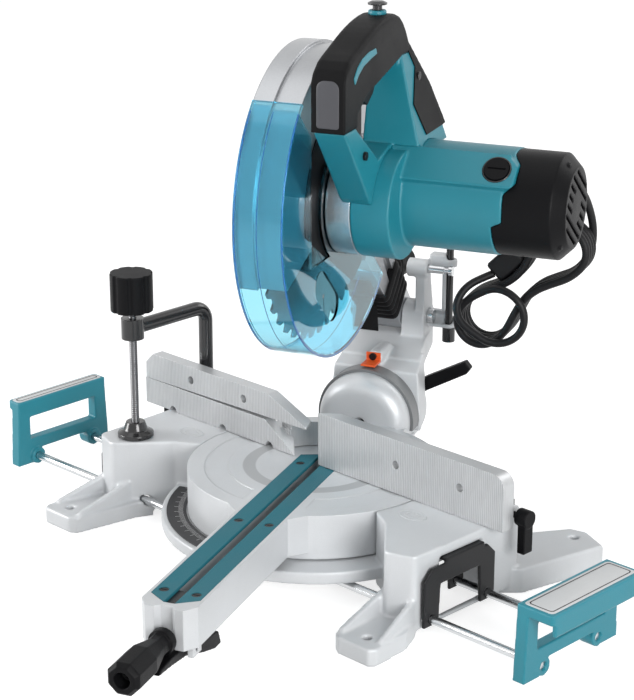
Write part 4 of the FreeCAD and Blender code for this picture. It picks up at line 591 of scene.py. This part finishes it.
clear_blue = tinted_clear("clear_blue", (0.32, 0.74, 0.88, 1), 0.03)
paint_node("lower_guard", clear_blue)
# Dark blue beads on the rims: the deeper tint of the thick plastic, plus painted shade where the rims bend
# the light away.
thick_rim_and_shade_blue = finish("guard_rim_tint_and_shade", (0.006, 0.10, 0.26), 0.12, mottle=0.05, coat=0.5)
GUARD_FIRST = 137.0
GUARD_LAST = 314.0
BEAD_STEPS = 90
# Each bead has its radius about the arbor, its place across the guard and its thickness.
GUARD_BEADS = (("guard_bead_outer", 0.1424, 0.0256, 0.0009), ("guard_bead_left", 0.1424, -0.0180, 0.0008),
               ("guard_bead_middle", 0.1430, 0.0030, 0.0004))


def bead_ring(centre, out, wide, side, tall):
    """Eight points of an oval about a centre."""
    return [centre + out * wide * math.cos(b) + side * tall * math.sin(b)
            for b in (math.pi * j / 4 for j in range(8))]


def arc_bead(name, radius, across, thick):
    """A round bead along an arc about the arbor."""
    rings = []
    for i in range(BEAD_STEPS + 1):
        a = math.radians(GUARD_FIRST + (GUARD_LAST - GUARD_FIRST) * i / BEAD_STEPS)
        out = Vector((0, math.cos(a), math.sin(a)))
        centre = Vector(HEAD_CENTRE) + out * radius + Vector((across, 0, 0))
        rings.append(bead_ring(centre, out, thick, Vector((1, 0, 0)), thick))
    return rings_mesh(name, rings)


for name, radius, across, thick in GUARD_BEADS:
    new_piece(name, arc_bead(name, radius, across, thick), thick_rim_and_shade_blue, "guard", smooth=80)

# ------------------------------------------------------------ gear housing
# Bare aluminium drum between the blade case and the motor, which holds the reduction gear.  It is turned
# on its outside, which leaves fine lines round it.
DRUM_PITCH = 0.0008
DRUM_DEPTH = 0.00001
drum_metal = finish("turned_drum", (0.50, 0.52, 0.54), 0.26, metal=0.95, mottle=0.06, grain=700, depth=0.15,
                    worn=(0.85, 0.85, 0.86), lay=(6, 1, 1), soft=0.0012)
tree = drum_metal.node_tree
relief(drum_metal, ridges(tree, one_axis(tree, arm_place(tree), "X"), DRUM_PITCH), DRUM_DEPTH)
paint_node("gear_housing", drum_metal)

# ------------------------------------------------------------ motor
# Teal glass-filled nylon housing with a flat raised panel for the brush cap; a black rear cover with
# slanted air slots closes it.  A gloss black ring round the brush cap stands for the painted shade in the
# recess it sits in.
moulded("motor_moulding", "motor_housing", teal, "head", cell=0.0010, passes=5)
moulded("cover_moulding", "rear_cover", black_nylon, "head", cell=0.0009, passes=4)
paint_node("brush_caps", black_nylon)
MOTOR_CENTRE = Vector((0, 0.03004, 0.340))
BRUSH_ACROSS = 0.170
PANEL_OUT = 0.0515
RIM_RADIUS = 0.0121
RIM_WIDE = 0.0009
RIM_TALL = 0.0008
RIM_STEPS = 48
outward = Vector((0, -math.sqrt(0.5), math.sqrt(0.5)))
along_panel = Vector((0, math.sqrt(0.5), math.sqrt(0.5)))
# Painted shade: a gloss black ring laid round the brush cap, where the cap sits in its recess.
recess_shade_rings = []
for i in range(RIM_STEPS + 1):
    a = 2 * math.pi * i / RIM_STEPS
    spoke = Vector((1, 0, 0)) * math.cos(a) + along_panel * math.sin(a)
    middle = MOTOR_CENTRE + Vector((BRUSH_ACROSS, 0, 0)) + outward * PANEL_OUT + spoke * RIM_RADIUS
    recess_shade_rings.append(bead_ring(middle, spoke, RIM_WIDE, outward, RIM_TALL))
new_piece("brush_recess_shade", rings_mesh("brush_recess_shade", recess_shade_rings, closed=False), gloss_black, "head",
          smooth=80)
fan_white = finish("fan_white", (0.62, 0.62, 0.60), 0.5, mottle=0.05)
paint_node("motor_fan", fan_white)

# ------------------------------------------------------------ handle
# D handle moulded in teal nylon in two halves, with a soft black rubber grip moulded over the bar, a grey
# panel let into its front end, the switch trigger below and the lock-off button on top.
rubber = finish("soft_rubber", (0.0050, 0.0050, 0.0055), 0.5, mottle=0.12, grain=2200, depth=0.35, shine=0.10)
moulded("handle_moulding", "handle_frame", teal, "head", cell=0.0009, passes=8)
moulded("grip_rubber_moulding", "handle_grip", rubber, "head", cell=0.0009, passes=14)
moulded("trigger_moulding", "trigger", black_nylon, "switch_trigger", cell=0.0005, passes=5)
paint_node("lock_button", gloss_black)


def cut_along(mesh, corners):
    """Cuts a mesh by the planes that run across the blade through each side of an outline of (y, z)."""
    for (y0, z0), (y1, z1) in zip(corners, corners[1:] + corners[:1]):
        geometry = list(mesh.verts) + list(mesh.edges) + list(mesh.faces)
        bmesh.ops.bisect_plane(mesh, geom=geometry, plane_co=(0, y0, z0), plane_no=(0, z0 - z1, y1 - y0),
                               dist=1e-6)


def inside_outline(y, z, corners):
    """Whether a point lies inside an outline, by counting the sides to one hand of it."""
    found = False
    for (y0, z0), (y1, z1) in zip(corners, corners[1:] + corners[:1]):
        if (z0 > z) != (z1 > z) and y < y0 + (z - z0) * (y1 - y0) / (z1 - z0):
            found = not found
    return found


# The rubber of the grip runs on down the back of the strut, and its front edge steps forward at the screw.
BACK_RUBBER = [(0.0350, 0.4800), (0.0455, 0.4490), (0.0180, 0.4215), (0.0280, 0.3930), (0.1000, 0.3930),
               (0.1000, 0.4800)]
RUBBER_THICK = 0.0011
skin = bmesh.new()
skin.from_mesh(bpy.data.objects["handle_moulding"].data)
skin.transform(ARM.inverted())
cut_along(skin, BACK_RUBBER)
spare = []
for face in skin.faces:
    middle = face.calc_center_median()
    if not inside_outline(middle.y, middle.z, BACK_RUBBER):
        spare.append(face)
bmesh.ops.delete(skin, geom=spare, context="FACES")
bmesh.ops.solidify(skin, geom=list(skin.faces), thickness=-RUBBER_THICK)
skin_mesh = bpy.data.meshes.new("back_rubber")
skin.to_mesh(skin_mesh)
skin.free()
new_piece("back_rubber", skin_mesh, rubber, "head", smooth=45)

CHAMFER = 0.0005


def raised_patch(name, outline, low, high):
    """A plate with a given outline of (y, z), standing on a side face, with a chamfered edge."""
    middle_y = sum(y for y, z in outline) / len(outline)
    middle_z = sum(z for y, z in outline) / len(outline)
    rings = [[(low, y, z) for y, z in outline], [(high - CHAMFER, y, z) for y, z in outline]]
    rings.append([(high, y + CHAMFER * math.copysign(1, middle_y - y),
                   z + CHAMFER * math.copysign(1, middle_z - z)) for y, z in outline])
    return rings_mesh(name, rings)


# A window in the rubber above the trigger, where the teal handle shows.
WINDOW_FOOT = 0.0712
WINDOW_FACE = 0.0726
WINDOW = [(-0.0945, 0.4645), (-0.0860, 0.4725), (-0.0750, 0.4775), (-0.0600, 0.4805), (-0.0430, 0.4810),
          (-0.0405, 0.4765), (-0.0560, 0.4745), (-0.0730, 0.4705), (-0.0850, 0.4650), (-0.0920, 0.4590)]
new_piece("switch_window", raised_patch("switch_window", WINDOW, WINDOW_FOOT, WINDOW_FACE), teal, "head")

# The grey panel in the front end of the grip, with wider corners at its top than at its foot.
PANEL_AT = (0.057, 0.4455)
PANEL_HALF = (0.0100, 0.0200)
TOP_CORNER = 0.0070
FOOT_CORNER = 0.0025
# Each turn of the panel's edge: how far it is drawn in, and how far forward it stands.
PANEL_EDGE = ((0.0, -0.1146), (0.0, -0.1151), (0.0006, -0.1154), (0.0014, -0.1155))
grey_panel = finish("grey_panel", (0.055, 0.056, 0.064), 0.42, mottle=0.06, grain=1800, depth=0.2)
panel_rings = []
for inset, front in PANEL_EDGE:
    ring = []
    for right, up, first in ((1, 1, 0), (-1, 1, 90), (-1, -1, 180), (1, -1, 270)):
        corner = TOP_CORNER if up > 0 else FOOT_CORNER
        cx = PANEL_AT[0] + right * (PANEL_HALF[0] - corner)
        cz = PANEL_AT[1] + up * (PANEL_HALF[1] - corner)
        for step in range(6):
            a = math.radians(first + 18 * step)
            ring.append((cx + (corner - inset) * math.cos(a), front, cz + (corner - inset) * math.sin(a)))
    panel_rings.append(ring)
new_piece("grip_panel", rings_mesh("grip_panel", panel_rings), grey_panel, "head")

# ------------------------------------------------------------ dust duct, chip flap and boot
# Black rubber bellows from the case over the knuckle to a round nozzle; the rubber flap behind the blade,
# which keeps the chips in; and the boot round the arm of the case.
DUCT_ACROSS = -0.018
DUCT_FRONT = 0.141
DUCT_LONG = 0.143
DUCT_STEPS = 140
NOZZLE_FRONT = 0.255
PLEAT_PITCH = 0.0075
PLEAT_DEPTH = 0.09
# Each station of the duct: its place from front to back, its height, its half width and its half depth.
DUCT_STATIONS = ((0.141, 0.222, 0.018, 0.020), (0.180, 0.204, 0.018, 0.016), (0.214, 0.196, 0.016, 0.014),
                 (0.262, 0.196, 0.015, 0.014), (0.284, 0.196, 0.0158, 0.0158))


def squared(c, s, power):
    """How far a rounded square stands out from the circle inside it."""
    return 1 / (abs(c) ** power + abs(s) ** power) ** (1 / power)


duct_rings = []
for i in range(DUCT_STEPS + 1):
    y = DUCT_FRONT + DUCT_LONG * i / DUCT_STEPS
    for first, second in zip(DUCT_STATIONS, DUCT_STATIONS[1:]):
        if first[0] <= y <= second[0] + 1e-9:
            t = (y - first[0]) / (second[0] - first[0])
            z, half, tall = (first[n] + (second[n] - first[n]) * t for n in (1, 2, 3))
    in_nozzle = y > NOZZLE_FRONT
    fold = 1.0 if in_nozzle else abs(math.sin(math.pi * (y - DUCT_FRONT) / PLEAT_PITCH))
    pleat = 1 - PLEAT_DEPTH * (1 - fold)
    ring = []
    for j in range(40):
        a = 2 * math.pi * j / 40
        c, s = math.cos(a), math.sin(a)
        out = pleat if in_nozzle else pleat * squared(c, s, 4)
        ring.append((DUCT_ACROSS + half * out * c, y, z + tall * out * s))
    duct_rings.append(ring)
duct = new_piece("dust_bellows", rings_mesh("dust_bellows", duct_rings), rubber, "head",
                 smooth=60)
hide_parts("dust_duct")

# The flap hangs behind the blade and widens a little towards its foot.
FLAP_TOP = (-0.014, 0.169, 0.1886)
FLAP_LONG = 0.0336
FLAP_HALF = 0.010
FLAP_SPREAD = 0.0035
FLAP_BOW = 0.0012
# Each corner of the flap's section: its side, and its place behind the middle.
FLAP_SECTION = ((-1, -0.0007), (0, -0.0010), (1, -0.0007), (1, 0.0007), (0, 0.0004), (-1, 0.0007))
flap_rings = []
for i in range(13):
    half = FLAP_HALF + FLAP_SPREAD * i / 12
    back = FLAP_TOP[1] + FLAP_BOW * math.sin(math.pi * i / 12)
    flap_rings.append([(FLAP_TOP[0] + side * half, back + behind, FLAP_TOP[2] - FLAP_LONG * i / 12)
                       for side, behind in FLAP_SECTION])
flap = new_piece("chip_flap", rings_mesh("chip_flap", flap_rings), rubber, "head")
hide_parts("dust_flap")
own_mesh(flap)

# A pleated rubber boot keeps the dust out where the arm of the case runs down to the knuckle.
BOOT_TOP = Vector((-0.0105, 0.1770, 0.2075))
BOOT_FOOT = Vector((-0.0105, 0.2103, 0.1746))
BOOT_OUT = Vector((0, 0.720, 0.694))
BOOT_PLEATS = 5
BOOT_FOLD = 0.0015
BOOT_HALF = 0.0206
BOOT_DEEP = 0.0231
BOOT_TAPER = 0.0018
BOOT_STEPS = 80
BOOT_SIDES = 64
boot_rings = []
for i in range(BOOT_STEPS + 1):
    t = i / BOOT_STEPS
    fold = BOOT_FOLD * abs(math.sin(math.pi * BOOT_PLEATS * t))
    middle = BOOT_TOP.lerp(BOOT_FOOT, t)
    ring = []
    for j in range(BOOT_SIDES):
        a = 2 * math.pi * j / BOOT_SIDES
        c, s = math.cos(a), math.sin(a)
        out = squared(c, s, 8)
        ring.append(middle + Vector(((BOOT_HALF + fold) * out * c, 0, 0))
                    + BOOT_OUT * (BOOT_DEEP - BOOT_TAPER * t + fold) * out * s)
    boot_rings.append(ring)
new_piece("knuckle_boot", rings_mesh("knuckle_boot", boot_rings), rubber, "head", smooth=60)

# ------------------------------------------------------------ cord
# Rubber mains lead, 7.5 mm thick: it leaves the strain relief behind the motor and hangs in a hank of five
# turns, with a round loop laid in front and the moulded plug beside the neck.
CORD_THICK = 0.0075
LEAD = [(0.208, 0.0929, 0.336), (0.208, 0.1129, 0.335), (0.209, 0.1369, 0.327), (0.211, 0.1569, 0.308),
        (0.213, 0.1699, 0.285)]
HANK_AT = (0.191, 0.1579, 0.265)
HANK_TURNS = 5
HANK_LONG = 0.110
HANK_LEAN = math.radians(45)
HANK_FOLD = 0.0236
HANK_LANE = 0.0075
HANK_BACK = 0.0135
SHOULDER = 0.0164
NECK = 0.0112
NECK_PLAY = 0.0008
FOLD_STEP = 22.5
LOOP_AT = (0.089, 0.007)
LOOP_WIDE = 0.0265
LOOP_BACK = -0.0245
LOOP_FIRST = -112
LOOP_STEP = 20
LOOP_RISE = 0.0050
LOOP_SINK = 0.0055
# Points of the hank, along, across and back: into it, from its last turn to the loop, and on to the plug.
HANK_ENTRY = ((-0.014, 0.0155, 0.0165), (0.000, 0.0215, 0.0165))
LOOP_ENTRY = ((0.1000, -0.0229, -0.0168), (0.0895, -0.0207, -0.0180))
PLUG_END = ((0.1190, -0.0065, -0.0310), (0.1185, -0.0170, -0.0300), (0.1135, -0.0270, -0.0265),
            (0.1040, -0.0325, -0.0205), (0.0940, -0.0335, -0.0140), (0.0840, -0.0305, -0.0070),
            (0.0735, -0.0262, 0.0000))


def hank_place(along, across, back):
    """A point of the hank, along it from the top fold, across it and back from its middle."""
    c, s = math.cos(HANK_LEAN), math.sin(HANK_LEAN)
    return Vector((HANK_AT[0] - s * along + c * across, HANK_AT[1] + back,
                   HANK_AT[2] - c * along - s * across))


def hank_fold(along, first, back, sink=0.0):
    """Half a turn of cord, clockwise from first degrees, which comes forward by sink on the way."""
    points = []
    for step in range(9):
        a = math.radians(first - FOLD_STEP * step)
        forward = sink * (1 - math.cos(math.pi * min(step / 5, 1))) / 2
        points.append(hank_place(along + HANK_FOLD * math.cos(a), HANK_FOLD * math.sin(a), back - forward))
    return points


rubber_cord = finish("rubber_cord", (0.010, 0.010, 0.011), 0.45, mottle=0.12, grain=900, depth=0.08,
                     shine=0.2)
chance = random.Random(7)
route = [Vector(p) for p in LEAD]
route += [hank_place(*p) for p in HANK_ENTRY]
for turn in range(HANK_TURNS):
    back = HANK_BACK - HANK_LANE * turn
    neck = NECK + chance.uniform(-NECK_PLAY, NECK_PLAY)
    sides = ((0.014, 0.955 * HANK_FOLD), (0.030, SHOULDER), (0.046, neck), (0.064, neck), (0.080, SHOULDER),
             (0.096, 0.955 * HANK_FOLD))
    route += [hank_place(along, across, back) for along, across in sides]
    route += hank_fold(HANK_LONG, 90, back)
    if turn == HANK_TURNS - 1:
        break
    route += [hank_place(along, -across, back) for along, across in reversed(sides)]
    route += hank_fold(0.0, -90, back, sink=HANK_LANE)
route += [hank_place(*p) for p in LOOP_ENTRY]
for step in range(13):
    a = math.radians(LOOP_FIRST - LOOP_STEP * step)
    back = LOOP_BACK + LOOP_RISE * max(0.0, 1 - step / 2.5) - LOOP_SINK * max(0.0, step - 8) / 4
    route.append(hank_place(LOOP_AT[0] + LOOP_WIDE * math.cos(a), LOOP_AT[1] + LOOP_WIDE * math.sin(a), back))
route += [hank_place(*p) for p in PLUG_END]

cord_line = bpy.data.curves.new("cord", "CURVE")
cord_line.dimensions = "3D"
spline = cord_line.splines.new("NURBS")
spline.points.add(len(route) - 1)
for point, place in zip(spline.points, route):
    point.co = (*(ARM @ place), 1)
spline.order_u = 3
spline.use_endpoint_u = True
spline.resolution_u = 8
cord_line.bevel_depth = CORD_THICK / 2
cord_line.bevel_resolution = 5
cord = bpy.data.objects.new("cord", cord_line)
bpy.context.scene.collection.objects.link(cord)
cord_line.materials.append(rubber_cord)
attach(cord, "head")
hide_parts("cord_lead", "cord_coil")
paint_node("plug cord_gland", rubber_cord)
